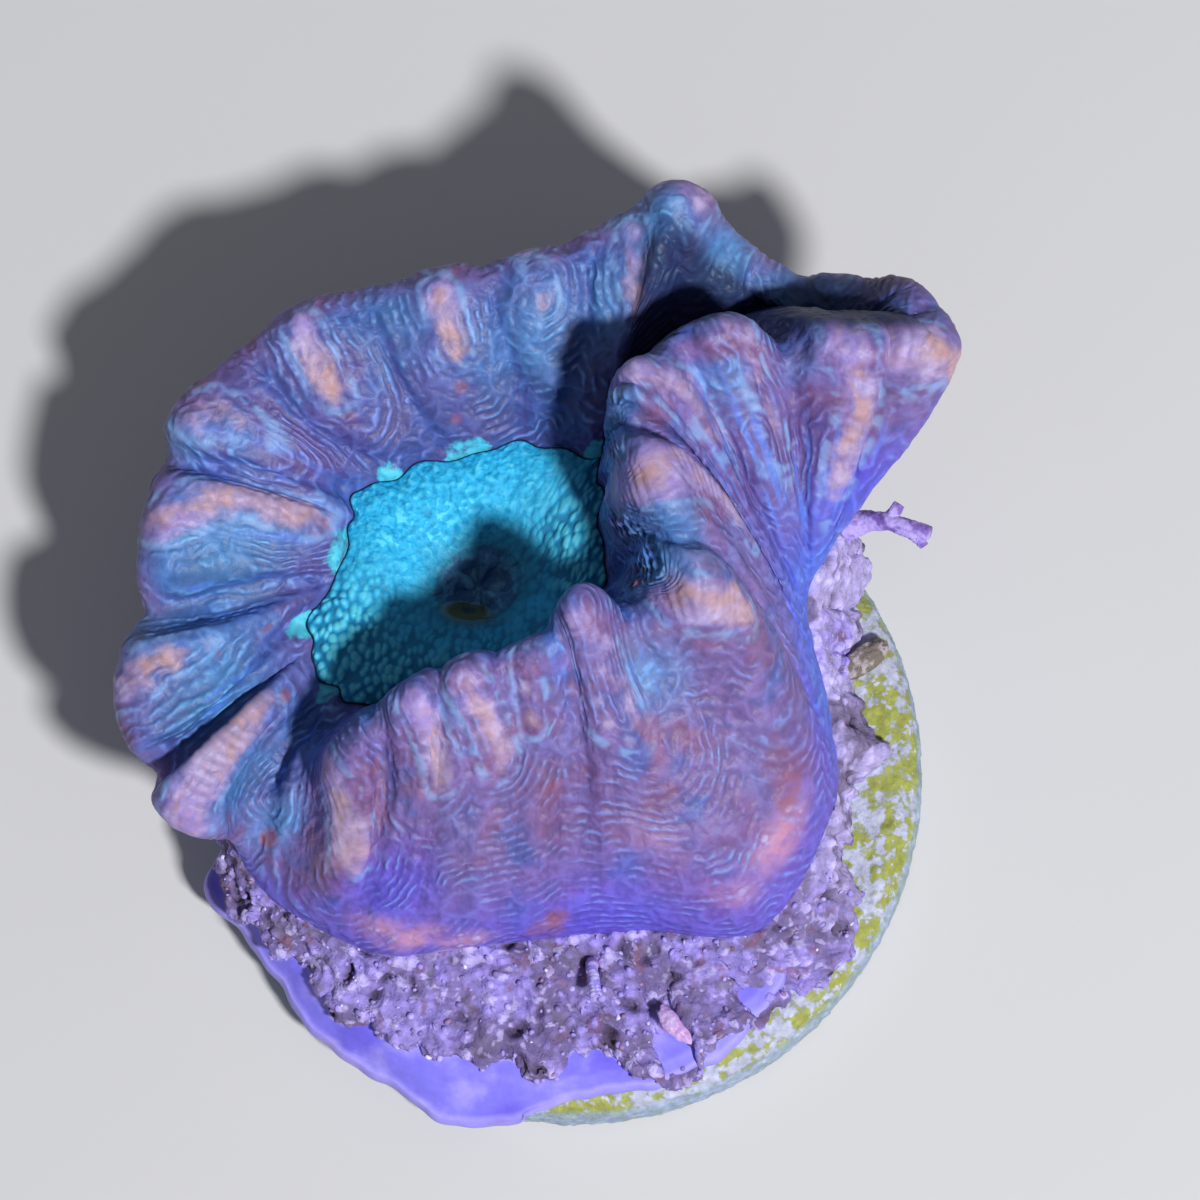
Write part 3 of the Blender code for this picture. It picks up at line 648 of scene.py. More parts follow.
cleft = smooth_step(0.9, 0.0, second - ring) * smooth_step(0.3, 1.0, ring)
cleft *= inner + 0.3 * (1 - inner) * smooth_step(2.4, 1.0, ring)
low = smooth_step(0.6, 0.95, reach)[None, :]
seam = within(reach, -1, -0.9, 0.96, 1)[None, :]
waist = within(place, 6.9, 8.2, 11.5, 12.8)[:, None] * smooth_step(0.45, 0.9, reach)
print(f"{(deep > 0.5).mean():.1%} of the skin lies deep in the second valley")

# %% [markdown]
# ## Nodes from a script
# Shader trees and geometry trees share their texture and math nodes. A few short helpers add a
# node, set its sockets and give back its output, so that one recipe can shape a surface in a
# geometry tree and colour it in a shader tree.

# %% Nodes that do sums
def add(tree, kind, inputs=None, **settings):
    """A new node. An input is a value or another node's output."""
    made = tree.nodes.new(kind)
    for name, value in settings.items():
        setattr(made, name, value)
    for key, value in (inputs or {}).items():
        if isinstance(value, bpy.types.NodeSocket):
            tree.links.new(value, made.inputs[key])
        else:
            made.inputs[key].default_value = value
    return made


def calculate(tree, operation, *values):
    """The result of one math node."""
    return add(tree, "ShaderNodeMath", dict(enumerate(values)), operation=operation).outputs[0]


def times(tree, first, second):
    return calculate(tree, "MULTIPLY", first, second)


def larger(tree, first, second):
    return calculate(tree, "MAXIMUM", first, second)


def centred(tree, value):
    """Turns 0..1 into -0.5..0.5."""
    return calculate(tree, "SUBTRACT", value, 0.5)


def opposite(tree, value):
    """Turns 0..1 into 1..0."""
    return calculate(tree, "SUBTRACT", 1.0, value)


def fade(tree, value, low, high):
    """0 below low, 1 above high, with a soft step between; the other way round if low > high."""
    ends = {"Value": value, "From Min": low, "From Max": high}
    if not isinstance(low, bpy.types.NodeSocket) and low > high:
        ends.update({"From Min": high, "From Max": low, "To Min": 1.0, "To Max": 0.0})
    return add(tree, "ShaderNodeMapRange", ends, interpolation_type="SMOOTHSTEP").outputs["Result"]


def remap(tree, value, low, high):
    """Turns 0..1 into low..high."""
    return add(tree, "ShaderNodeMapRange", {"Value": value, "To Min": low, "To Max": high}).outputs["Result"]


def blend(tree, amount, none, full):
    """A value that goes from none to full as the amount goes from 0 to 1."""
    return add(tree, "ShaderNodeMix", {0: amount, 2: none, 3: full}).outputs[0]


# %% Textures, stored values and groups
def noise(tree, place, size, detail=2.0):
    """Soft noise from 0 to 1, whose lumps are about this many millimetres wide."""
    inputs = {"Vector": place, "Scale": 1 / (size * MM), "Detail": detail}
    return add(tree, "ShaderNodeTexNoise", inputs).outputs[0]


def cell_distance(tree, place, size, feature="F1"):
    """The distance in a pattern of cells, which are about this many millimetres wide."""
    inputs = {"Vector": place, "Scale": 1 / (size * MM)}
    return add(tree, "ShaderNodeTexVoronoi", inputs, feature=feature).outputs["Distance"]


def bent_place(tree, place, scale, detail, depth):
    """A place moved by a noise up to this many millimetres, so that its cells look grown."""
    drift = add(tree, "ShaderNodeTexNoise", {"Vector": place, "Scale": scale, "Detail": detail}).outputs[1]
    inputs = {0: drift, 1: (depth * MM,) * 3, 2: place}
    return add(tree, "ShaderNodeVectorMath", inputs, operation="MULTIPLY_ADD").outputs[0]


def read(tree, name, vector=False):
    """A named value that is stored on the points of the mesh."""
    if tree.bl_idname == "ShaderNodeTree":
        found = add(tree, "ShaderNodeAttribute", attribute_name=name)
        return found.outputs["Vector" if vector else "Fac"]
    kind = "FLOAT_VECTOR" if vector else "FLOAT"
    return add(tree, "GeometryNodeInputNamedAttribute", {"Name": name}, data_type=kind).outputs["Attribute"]


def new_tree(name, kind, inputs, outputs):
    """A node group with named sockets, its input node and its output node."""
    tree = bpy.data.node_groups.new(name, kind)
    for socket, (socket_kind, value) in inputs.items():
        made = tree.interface.new_socket(socket, in_out="INPUT", socket_type=socket_kind)
        if value is not None:
            made.default_value = value
    for socket, socket_kind in outputs.items():
        tree.interface.new_socket(socket, in_out="OUTPUT", socket_type=socket_kind)
    return tree, tree.nodes.new("NodeGroupInput").outputs, tree.nodes.new("NodeGroupOutput").inputs


# %% [markdown]
# ## The head: its wrinkles
# Moist coral flesh is wrinkled all over. The wrinkles follow the course of the lines, they waver,
# and they break up into beads, or into a web with bubbles. One recipe turns the course into such
# lines. The geometry tree uses it to raise the skin, and the material uses the very same nodes
# for the colour, so that every blue line sits on its own wrinkle. Geometry Nodes are the natural
# tool here, because the rule is the same at every point of the skin.

# %% One recipe for wrinkles, in a geometry tree and in a shader tree
FLOAT, VECTOR, MATERIAL = "NodeSocketFloat", "NodeSocketVector", "NodeSocketMaterial"
GEOMETRY, WHOLE = "NodeSocketGeometry", "NodeSocketInt"
SPACING, WAVER = 0.36, 0.36
SWAY, SHIVER = 7.0, 2.2  # how much a wide and a fine noise push the lines aside
WEB_BEND = (1100.0, 2.0, 0.9)  # the noise's scale and detail, and how far it bends the web
WEB_SIZE, BUBBLE_SIZE = 1.0, 0.34


def wrinkle_recipe(tree, course, place, order, spacing, waver):
    """Adds the nodes and gives back the wrinkle's height and how strongly it is coloured, 0 to 1."""
    sway = centred(tree, noise(tree, place, 2.2))
    shiver = centred(tree, noise(tree, place, 0.6, 1.0))
    turns = calculate(tree, "DIVIDE", course, spacing)
    turns = calculate(tree, "MULTIPLY_ADD", sway, times(tree, waver, SWAY), turns)
    turns = calculate(tree, "MULTIPLY_ADD", shiver, times(tree, waver, SHIVER), turns)
    wave = calculate(tree, "PINGPONG", turns, 0.5)
    presence = larger(tree, fade(tree, noise(tree, place, 1.2, 3.0), 0.42, 0.60), order)
    web = cell_distance(tree, bent_place(tree, place, *WEB_BEND), WEB_SIZE, "DISTANCE_TO_EDGE")
    bubbles = fade(tree, cell_distance(tree, place, BUBBLE_SIZE), 0.75, 0.2)
    beads = remap(tree, fade(tree, noise(tree, place, 0.3, 0.0), 0.34, 0.64), 0.35, 1.0)
    ridge = times(tree, fade(tree, wave, 0.0, 0.5), beads)
    netting = larger(tree, fade(tree, web, 0.3, 0.0), times(tree, bubbles, 0.7))
    on_rings = times(tree, fade(tree, wave, 0.2, 0.5), presence)
    on_web = times(tree, fade(tree, web, 0.13, 0.0), remap(tree, presence, 0.28, 0.0))
    return blend(tree, presence, netting, ridge), times(tree, larger(tree, on_rings, on_web), beads)


flesh_lines, given, result = new_tree(
    "flesh_lines",
    "ShaderNodeTree",
    {
        "Course": (FLOAT, 0.0),
        "Place": (VECTOR, None),
        "Order": (FLOAT, 0.0),
        "Spacing": (FLOAT, SPACING),
        "Waver": (FLOAT, WAVER),
    },
    {"Height": FLOAT, "Line": FLOAT},
)
sockets = (given[name] for name in ("Course", "Place", "Order", "Spacing", "Waver"))
height, line = wrinkle_recipe(flesh_lines, *sockets)
flesh_lines.links.new(height, result["Height"])
flesh_lines.links.new(line, result["Line"])
print("flesh_lines has", len(flesh_lines.nodes), "nodes")

# %% [markdown]
# ## The head: its relief
# The geometry tree adds up what lifts the skin: the wrinkles where no patch lies, higher steps on
# the terraces, the swelling of the lobes, the ribs across them, and a few soft lumps. Clefts sink
# in. Where a sector meets the mouth disc or the ground, the relief fades out.

# %% The last nodes of a geometry tree
def push_out(tree, geometry, rise):
    """Moves each point along its stored normal by so many millimetres."""
    offset = {0: read(tree, "out", vector=True), "Scale": times(tree, rise, MM)}
    push = add(tree, "ShaderNodeVectorMath", offset, operation="SCALE").outputs[0]
    return add(tree, "GeometryNodeSetPosition", {"Geometry": geometry, "Offset": push}).outputs[0]


def end_tree(tree, geometry, material, result, smooth=False):
    """The last nodes of a geometry tree: what it made is real, and has its material."""
    geometry = add(tree, "GeometryNodeRealizeInstances", {"Geometry": geometry}).outputs[0]
    if smooth:
        geometry = add(tree, "GeometryNodeSetShadeSmooth", {"Geometry": geometry}).outputs[0]
    covered = add(tree, "GeometryNodeSetMaterial", {"Geometry": geometry, "Material": material})
    tree.links.new(covered.outputs[0], result["Geometry"])
    print(f"{tree.name} has {len(tree.nodes)} nodes")


# %% The geometry tree for the skin
RIB_SPACING = 0.42


def rib_recipe(tree):
    """The height of the fine ribs across the combed lobes, 0 to 1."""
    ribs = calculate(tree, "PINGPONG", calculate(tree, "DIVIDE", read(tree, "rib"), RIB_SPACING), 0.5)
    return times(tree, times(tree, ribs, 2.0), read(tree, "comb"))


tree, given, result = new_tree(
    "skin_relief",
    "GeometryNodeTree",
    {
        "Geometry": (GEOMETRY, None),
        "Spacing": (FLOAT, SPACING),
        "Waver": (FLOAT, WAVER),
        "Wrinkle Height": (FLOAT, 0.05),
        "Step Height": (FLOAT, 0.09),
        "Lobe Swelling": (FLOAT, 0.22),
        "Rib Height": (FLOAT, 0.05),
        "Cleft Depth": (FLOAT, 0.16),
        "Lump Height": (FLOAT, 0.2),
        "Flesh": (MATERIAL, None),
    },
    {"Geometry": GEOMETRY},
)
skin_relief = tree
rest = read(tree, "rest", vector=True)
course_read, order_read = read(tree, "course"), read(tree, "order")
height = wrinkle_recipe(tree, course_read, rest, order_read, given["Spacing"], given["Waver"])[0]
terrace_read = read(tree, "terrace")
stepped = calculate(tree, "MULTIPLY_ADD", terrace_read, given["Step Height"], given["Wrinkle Height"])
rise = times(tree, times(tree, height, stepped), opposite(tree, read(tree, "patch")))
rise = calculate(tree, "ADD", rise, times(tree, read(tree, "swell"), given["Lobe Swelling"]))
rise = calculate(tree, "MULTIPLY_ADD", rib_recipe(tree), given["Rib Height"], rise)
rise = calculate(tree, "SUBTRACT", rise, times(tree, read(tree, "cleft"), given["Cleft Depth"]))
rise = calculate(tree, "MULTIPLY_ADD", centred(tree, noise(tree, rest, 1.1)), given["Lump Height"], rise)
moved = push_out(tree, given["Geometry"], times(tree, rise, read(tree, "seam")))
end_tree(tree, moved, given["Flesh"], result)

# %% [markdown]
# ## The head: its colours
# Colours are laid on one over another, as on a painted model: first the ground colour of the
# flesh with its blue and purple zones, then streaks, glows and thin lines, and last the warm
# patches, the rusty spots and the cyan caps. The shared group puts out only masks, and the
# surface itself stays in the material.

# %% Colours laid over one another
def colour(red, green, blue):
    """A display colour, 0 to 255, as the linear light that Blender computes with."""
    share = np.array([red, green, blue]) / 255
    light = np.where(share <= 0.04045, share / 12.92, ((share + 0.055) / 1.055) ** 2.4)
    return (*(float(value) for value in light), 1.0)


def layer(tree, below, above, amount, strength=None):
    """One colour laid over another where amount is 1; a strength holds it back."""
    if strength is not None:
        amount = times(tree, amount, strength)
    inputs = {0: amount, 6: below, 7: above}
    return add(tree, "ShaderNodeMix", inputs, data_type="RGBA").outputs[2]


def shade(tree, below, amount):
    """A colour made darker or lighter by a factor."""
    inputs = {0: 1.0, 6: below, 7: amount}
    return add(tree, "ShaderNodeMix", inputs, data_type="RGBA", blend_type="MULTIPLY").outputs[2]


def coat(tree, surface, ground, height, depth, strength):
    """Gives a surface its colour, and a bump from a height of 0 to 1, so many millimetres deep."""
    tree.links.new(ground, surface.inputs["Base Color"])
    inputs = {"Height": height, "Distance": depth * MM, "Strength": strength}
    tree.links.new(add(tree, "ShaderNodeBump", inputs).outputs[0], surface.inputs["Normal"])


# %% The colours of the flesh
FLESH_LAVENDER = colour(88, 96, 166)
FLESH_MAUVE = colour(118, 96, 158)
FLESH_ROSE = colour(130, 86, 122)
FLESH_BLUE = colour(72, 108, 182)
FLESH_CYAN = colour(74, 130, 190)
FLESH_PURPLE = colour(98, 70, 138)
STREAK_PURPLE = colour(74, 58, 130)
FLESH_VIOLET = colour(92, 80, 224)
WAIST_BLUE = colour(76, 112, 232)
RUN_BLUE = colour(82, 130, 236)
CLEFT_BLUE_AND_SHADE = colour(50, 88, 178)
NAVY_PAINTED_SHADE = colour(30, 38, 74)
LINE_LAVENDER = colour(126, 148, 228)
LINE_CYAN = colour(110, 186, 236)
OUTLINE_BLUE = colour(140, 182, 238)
PATCH_VIOLET = colour(158, 136, 206)
PATCH_PINK = colour(170, 152, 198)
PATCH_ORANGE = colour(190, 148, 146)
PATCH_LIGHT = colour(198, 188, 232)
SPOT_RUST = colour(146, 84, 90)
GLOW_PINK = colour(206, 146, 168)
HEM_CREAM = colour(204, 190, 214)
CAP_CYAN = colour(84, 214, 240)
print(f"In linear light the cyan is {CAP_CYAN[2] / CAP_CYAN[0]:.0f} times as blue as it is red")

# %% The ground colour of the flesh
flesh, tree, surface = new_material("coral_flesh", Roughness=0.5, Specular_IOR_Level=0.35)
rest = read(tree, "rest", vector=True)
ring_read, patch_read = read(tree, "ring"), read(tree, "patch")
inner_read, cyan_read = read(tree, "inner"), read(tree, "cyan")
inputs = {"Course": read(tree, "course"), "Order": read(tree, "order"), "Place": rest}
lines = add(tree, "ShaderNodeGroup", inputs, node_tree=flesh_lines)
height, line = lines.outputs["Height"], lines.outputs["Line"]
broad, fine, mottle = noise(tree, rest, 2.6, 4.0), noise(tree, rest, 0.7, 4.0), noise(tree, rest, 0.25, 3.0)

ground = layer(tree, FLESH_MAUVE, FLESH_LAVENDER, larger(tree, inner_read, fade(tree, broad, 0.46, 0.34)))
rosy = fade(tree, noise(tree, rest, 1.7, 5.0), 0.46, 0.66)
ground = layer(tree, ground, FLESH_ROSE, rosy, remap(tree, opposite(tree, inner_read), 0.25, 0.7))
ground = layer(tree, ground, FLESH_BLUE, fade(tree, broad, 0.48, 0.66), remap(tree, inner_read, 0.25, 0.85))
for name, tint, strength in (
    ("purple", FLESH_PURPLE, 0.75),
    ("cyan", FLESH_CYAN, 0.85),
    ("low", FLESH_VIOLET, 0.6),
    ("violet", FLESH_VIOLET, 0.8),
    ("waist", WAIST_BLUE, 0.8),
    # the clefts are bluer, and darker as painted shade
    ("cleft", CLEFT_BLUE_AND_SHADE, 0.5),
):
    ground = layer(tree, ground, tint, read(tree, name), strength)
# Painted shade: the inner wall is a little lighter near the lobes and darker in the hollows between them.
between = times(tree, fade(tree, ring_read, 0.4, 2.4), inner_read)
ground = shade(tree, ground, remap(tree, between, 1.08, 0.84))
# Painted shade: the flesh is darker in the grooves of the wrinkles and a little lighter on their tops.
ground = shade(tree, ground, remap(tree, height, 0.78, 1.06))
# Painted shade: the gaps between the steps of a terrace are laid over in dark navy.
step_gap_shade = times(tree, fade(tree, height, 0.5, 0.1), read(tree, "terrace"))
ground = layer(tree, ground, NAVY_PAINTED_SHADE, step_gap_shade, 0.85)
print("The ground colour takes", len(tree.nodes), "nodes")

# %% [markdown]
# ## The head: streaks, glows and lines
# Dark and pale streaks run down the wall on the flow. Low in front the flesh glows pink, with
# pearl-like cells in the glow, and it ends in a pale hem. Over all that lie the thin lines of
# the wrinkles, and a broken blue outline round every patch.

# %% Streaks, glows and lines on the flesh
PEARL_SIZE = 0.44
streak = noise(tree, read(tree, "flow", vector=True), 0.5, 3.0)
in_purple = calculate(tree, "MULTIPLY_ADD", read(tree, "purple"), 0.6, 0.2)
ground = layer(tree, ground, STREAK_PURPLE, fade(tree, streak, 0.52, 0.62), in_purple)
pale_streak = times(tree, fade(tree, streak, 0.46, 0.38), read(tree, "order"))
ground = layer(tree, ground, RUN_BLUE, pale_streak, 0.55)
ground = shade(tree, ground, remap(tree, mottle, 0.72, 1.18))
glow_read = read(tree, "glow")
mottled_glow = times(tree, glow_read, remap(tree, fade(tree, fine, 0.38, 0.6), 0.55, 1.0))
ground = layer(tree, ground, GLOW_PINK, mottled_glow, 0.72)
pearls = fade(tree, cell_distance(tree, rest, PEARL_SIZE), 0.46, 0.24)
pearls = times(tree, pearls, fade(tree, noise(tree, rest, 1.2, 1.0), 0.5, 0.6))
pearls = times(tree, pearls, fade(tree, glow_read, 0.35, 0.7))
ground = layer(tree, ground, PATCH_LIGHT, pearls, 0.6)
ground = layer(tree, ground, HEM_CREAM, read(tree, "hem"), remap(tree, fade(tree, fine, 0.38, 0.6), 0.4, 0.9))

cyan_line = larger(tree, cyan_read, times(tree, fade(tree, broad, 0.47, 0.6), 0.6))
line_colour = layer(tree, LINE_LAVENDER, LINE_CYAN, cyan_line)
line_strength = remap(tree, larger(tree, inner_read, cyan_read), 0.36, 0.55)
emphasis = remap(tree, fade(tree, noise(tree, rest, 1.5, 2.0), 0.38, 0.62), 0.55, 1.5)
ground = layer(tree, ground, line_colour, line, times(tree, line_strength, emphasis))
halo = times(tree, fade(tree, ring_read, 0.5, 0.24), fade(tree, ring_read, 0.02, 0.2))
halo = times(tree, halo, fade(tree, noise(tree, rest, 0.8), 0.4, 0.6))
ground = layer(tree, ground, OUTLINE_BLUE, halo, 0.5)
print("With streaks, glows and lines it has", len(tree.nodes))

# %% [markdown]
# ## The head: patches, spots and caps
# A patch goes from violet over pink to orange, the more the nearer its warm end and its core, and
# it has pale flecks and darker ribs. Its edge is ragged, because a noise shifts it to and fro.
# Rusty spots, the painted shade deep in the second valley and the cyan caps at the disc's edge come last.

# %% Patches, spots and caps on the flesh
warmth = read(tree, "warm")
patch_colour = layer(tree, PATCH_VIOLET, PATCH_PINK, fade(tree, warmth, 0.05, 0.3))
core_orange = times(tree, read(tree, "core"), fade(tree, noise(tree, rest, 1.3, 4.0), 0.4, 0.6))
orange = larger(tree, fade(tree, warmth, 0.2, 0.75), core_orange)
orange = times(tree, orange, remap(tree, fade(tree, fine, 0.36, 0.6), 0.6, 1.0))
patch_colour = layer(tree, patch_colour, PATCH_ORANGE, orange)
flecks = times(tree, fade(tree, noise(tree, rest, 0.8, 4.0), 0.5, 0.66), remap(tree, orange, 0.75, 0.25))
patch_colour = layer(tree, patch_colour, PATCH_LIGHT, flecks, 0.55)
patch_colour = shade(tree, patch_colour, remap(tree, rib_recipe(tree), 1.0, 0.88))
patch_colour = shade(tree, patch_colour, remap(tree, mottle, 0.76, 1.2))
ragged = calculate(tree, "MULTIPLY_ADD", centred(tree, noise(tree, rest, 0.8, 4.0)), 1.5, patch_read)
ground = layer(tree, ground, patch_colour, fade(tree, ragged, 0.15, 0.9), fade(tree, patch_read, 0.0, 0.35))
ground = layer(tree, ground, SPOT_RUST, read(tree, "spot"), remap(tree, fade(tree, fine, 0.4, 0.6), 0.4, 0.8))
# Painted shade: the second valley and the top of the saddle's outer wall are laid over in dark navy.
ground = layer(tree, ground, NAVY_PAINTED_SHADE, read(tree, "deep"), 0.85)

cap_read = read(tree, "cap")
ragged_cap = calculate(tree, "MULTIPLY_ADD", centred(tree, fine), 1.8, cap_read)
ragged_cap = calculate(tree, "MULTIPLY_ADD", centred(tree, mottle), 1.8, ragged_cap)
ragged_cap = times(tree, ragged_cap, fade(tree, cap_read, 0.0, 0.35))
cap_colour = shade(tree, CAP_CYAN, remap(tree, mottle, 0.66, 1.16))
# Painted shade: the cyan is darker in the grooves of the wrinkles.
cap_colour = shade(tree, cap_colour, remap(tree, height, 0.7, 1.08))
ground = layer(tree, ground, cap_colour, fade(tree, ragged_cap, 0.2, 1.1), 0.95)
grit = noise(tree, rest, 0.1, 1.0)
coat(tree, surface, ground, calculate(tree, "MULTIPLY_ADD", grit, 0.5, height), 0.04, 0.5)
print("coral_flesh has", len(tree.nodes), "nodes in all")

# %% [markdown]
# ## From a net to a piece
# A net becomes a mesh with its values stored on its points. Geometry Nodes grow it, and the
# result is made a plain mesh, because a live modifier would not survive the export. Each piece
# then rides on the one body and stands for its node of the CAD model.

# %% The points, corners and values of a net
def add_values(mesh, **values):
    """Stores numpy arrays on the points of a mesh, where nodes can read them by name."""
    for name, value in values.items():
        value = np.asarray(value, np.float32)
        if value.ndim == 2:
            mesh.attributes.new(name, "FLOAT_VECTOR", "POINT").data.foreach_set("vector", value.ravel())
        else:
            mesh.attributes.new(name, "FLOAT", "POINT").data.foreach_set("value", value)


def grid_quads(columns, rows, closed=True):
    """Corner numbers of a grid whose points are counted down each column in turn."""
    index = np.arange(columns * rows).reshape(columns, rows)
    after = np.roll(index, -1, axis=0)
    if not closed:
        index, after = index[:-1], after[:-1]
    return np.stack([index[:, :-1], index[:, 1:], after[:, 1:], after[:, :-1]], axis=-1).reshape(-1, 4)


def points_of(mesh):
    """The points of a mesh in millimetres."""
    co = np.empty(len(mesh.vertices) * 3, np.float32)
    mesh.vertices.foreach_get("co", co)
    return co.reshape(-1, 3).astype(float) / MM


# %% Growing and placing a piece
def grown(name, mesh, tree, **settings):
    """Runs a geometry tree on a mesh and gives back its result as a plain mesh."""
    carrier = bpy.data.objects.new(name + "_carrier", mesh)
    bpy.context.scene.collection.objects.link(carrier)
    modifier = carrier.modifiers.new("growth", "NODES")
    modifier.node_group = tree
    for socket in tree.interface.items_tree:
        if socket.in_out == "INPUT" and socket.name in settings:
            modifier[socket.identifier] = settings[socket.name]
    depsgraph = bpy.context.evaluated_depsgraph_get()
    made = bpy.data.meshes.new_from_object(
        carrier.evaluated_get(depsgraph), preserve_all_data_layers=True, depsgraph=depsgraph
    )
    made.name = name
    carrier.modifiers.remove(modifier)
    bpy.data.objects.remove(carrier)
    return made


def place_piece(name, mesh, slot, *nodes):
    """Puts a finished mesh in the scene, on the one body, in place of its CAD nodes."""
    made = bpy.data.objects.new(name, mesh)
    bpy.context.scene.collection.objects.link(made)
    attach(made, "root")
    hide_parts(*nodes)
    mesh.calc_loop_triangles()
    print(f"{name}: {len(mesh.loop_triangles)} triangles")
    return made


# %% [markdown]
# ## The head: growing the skin
# The whole net is grown once, so that its wrinkles run on without a break. Then it is cut into
# its four sectors, which keeps each mesh light. Their points along a cut are the same, and each
# sector is given the normals of the whole net, so that no seam shows.

# %% Grow the skin and cut it into sectors
net = mesh_from("net", walls.reshape(-1, 3), grid_quads(COLUMNS, ROWS))
skin_values = {
    "ring": ring, "course": course, "order": order, "patch": patch, "warm": warm, "core": core,
    "rib": rib, "comb": comb, "swell": swell, "cleft": cleft, "terrace": terrace, "seam": seam,
    "inner": inner, "low": low, "deep": deep, "waist": waist, "spot": spot, "glow": glow,
    "hem": hem, "cap": cap, "cyan": cyan, "purple": purple, "violet": violet,
}
skin_values = {name: np.broadcast_to(value, (COLUMNS, ROWS)) for name, value in skin_values.items()}
RELIEF_ONLY = ("seam", "swell")  # no material reads these
add_values(net, rest=walls.reshape(-1, 3) * MM, out=wall_normals.reshape(-1, 3))
add_values(net, **{name: value.ravel() for name, value in skin_values.items()})
skin = points_of(grown("skin", net, skin_relief, Flesh=flesh)).reshape(COLUMNS, ROWS, 3)
skin_normals = normals_of(skin)

for name, (first, stop) in SECTORS.items():
    start, end = np.searchsorted(place, (first, stop))
    columns = np.arange(start, end + 1) % COLUMNS
    mesh = mesh_from(name, skin[columns].reshape(-1, 3), grid_quads(len(columns), ROWS, closed=False))
    add_values(mesh, rest=walls[columns].reshape(-1, 3) * MM, flow=flow[columns].reshape(-1, 3))
    painted = {key: value[columns].ravel() for key, value in skin_values.items() if key not in RELIEF_ONLY}
    add_values(mesh, **painted)
    mesh.materials.append(flesh)
    mesh.normals_split_custom_set_from_vertices(skin_normals[columns].reshape(-1, 3).tolist())
    place_piece(name, mesh, "coral_flesh", "coral_head")

# %% [markdown]
# ## The mouth disc
# Inside the ring of lobes lies the mouth disc, a membrane set with small beads. It starts where
# the walls stop and sinks to the mouth, whose lips are folded. The mesh is a polar net: every
# column runs from the mouth to one point of the skin's inner edge, so the two meet exactly.

# %% The two edges of the mouth disc
MOUTH_RADII, MOUTH_TURN = (1.6, 1.35), math.radians(25)
MOUTH_LIP_Z, MOUTH_PIT_Z = 7.4, 6.75
DISC_HANDLES = (7.85, 8.75)  # heights that shape the disc's swelling between the mouth and its edge
THROAT_ROWS, DISC_ROWS = 28, 82
THROAT_FOLDS = (
    # the direction and the half-width in degrees, and the height
    (75, 26, 0.34),
    (-35, 30, 0.30),
    (160, 34, 0.26),
    (262, 22, 0.20),
)
LENS, LENS_RADII, LENS_TURN = np.array((-3.80, 4.95)), (0.86, 0.42), math.radians(-6)

edge_columns = np.concatenate([np.flatnonzero(place >= NECK_STOP), np.flatnonzero(place < NECK_START)])
disc_edge = skin[edge_columns, 0]
toward = np.arctan2(*(disc_edge[:, :2] - MOUTH).T[::-1])
oval = MOUTH_RADII[0] * MOUTH_RADII[1] / np.hypot(
    MOUTH_RADII[1] * np.cos(toward - MOUTH_TURN), MOUTH_RADII[0] * np.sin(toward - MOUTH_TURN)
)
lip_flat = MOUTH + np.stack([np.cos(toward), np.sin(toward)], axis=1) * oval[:, None]
lip = np.column_stack([lip_flat, np.full(len(oval), MOUTH_LIP_Z)])
print(f"The disc lies between {disc_edge[:, 2].min():.1f} and {disc_edge[:, 2].max():.1f} mm at its edge")

# %% The net of the mouth disc
def sector(middle, half):
    """1 in one direction from the mouth and 0 away from it; angles in degrees."""
    off = (np.degrees(toward)[:, None] - middle + 180) % 360 - 180
    return smooth_step(half, 0.2 * half, np.abs(off))


throat_share = np.linspace(0.04, 1, THROAT_ROWS)
depth = MOUTH_PIT_Z + (MOUTH_LIP_Z - MOUTH_PIT_Z) * smooth_step(0.45, 1.0, throat_share)
folds = sum(height * sector(way, half) for way, half, height in THROAT_FOLDS)
window = within(throat_share, 0, 0.35, 0.6, 1.0)[None, :]
curl = 0.25 * (1 - throat_share[None, :]) * np.sin(3 * toward)[:, None]
throat_flat = MOUTH + (lip[:, None, :2] - MOUTH) * (throat_share[None, :] * (1 + curl))[:, :, None]
throat = np.concatenate([throat_flat, (depth + folds * window)[:, :, None]], axis=2)

disc_share = np.linspace(0, 1, DISC_ROWS + 1)[1:]
span = disc_edge - lip
handles = [lip + span * (share, share, 0) for share in (1 / 3, 2 / 3)]
for handle, height in zip(handles, DISC_HANDLES):
    handle[:, 2] = height
disc_part = bezier(disc_share, lip, *handles, disc_edge)
disc_net = np.concatenate([throat, disc_part], axis=1)
outwards = np.concatenate([throat_share - 1, disc_share])  # -1 in the throat, 0 at the lip, 1 at the edge
beads = np.maximum(sector(215, 62), sector(12, 55)) * smooth_step(0.25, 0.6, outwards)[None, :]
rows = np.maximum(sector(265, 120), sector(20, 60)) * smooth_step(-0.05, 0.15, outwards)[None, :]
lens_x, lens_y = ((disc_net[:, :, axis] - LENS[axis]) for axis in (0, 1))
cosine, sine = math.cos(LENS_TURN), math.sin(LENS_TURN)
long_way, short_way = lens_x * cosine + lens_y * sine, lens_y * cosine - lens_x * sine
lens = np.hypot(long_way / LENS_RADII[0], short_way / LENS_RADII[1])
seam = smooth_step(1, 0.96, outwards)
disc_values = {"outwards": outwards, "beads": beads, "rows": rows, "lens": lens, "seam": seam}
print(f"The mouth disc is a net of {len(edge_columns)} columns and {len(outwards)} rows")

# %% [markdown]
# ## The mouth disc: beads and colours
# Where the disc is stretched it is covered with fine folds that wind like worms, and where it
# is slack it is set with rows of beads. A noise gives the folds and a Voronoi texture on
# squeezed coordinates gives the rows. Geometry Nodes lift both, and the material asks the same
# two textures where to paint highlights on the tops and shade in the gaps.

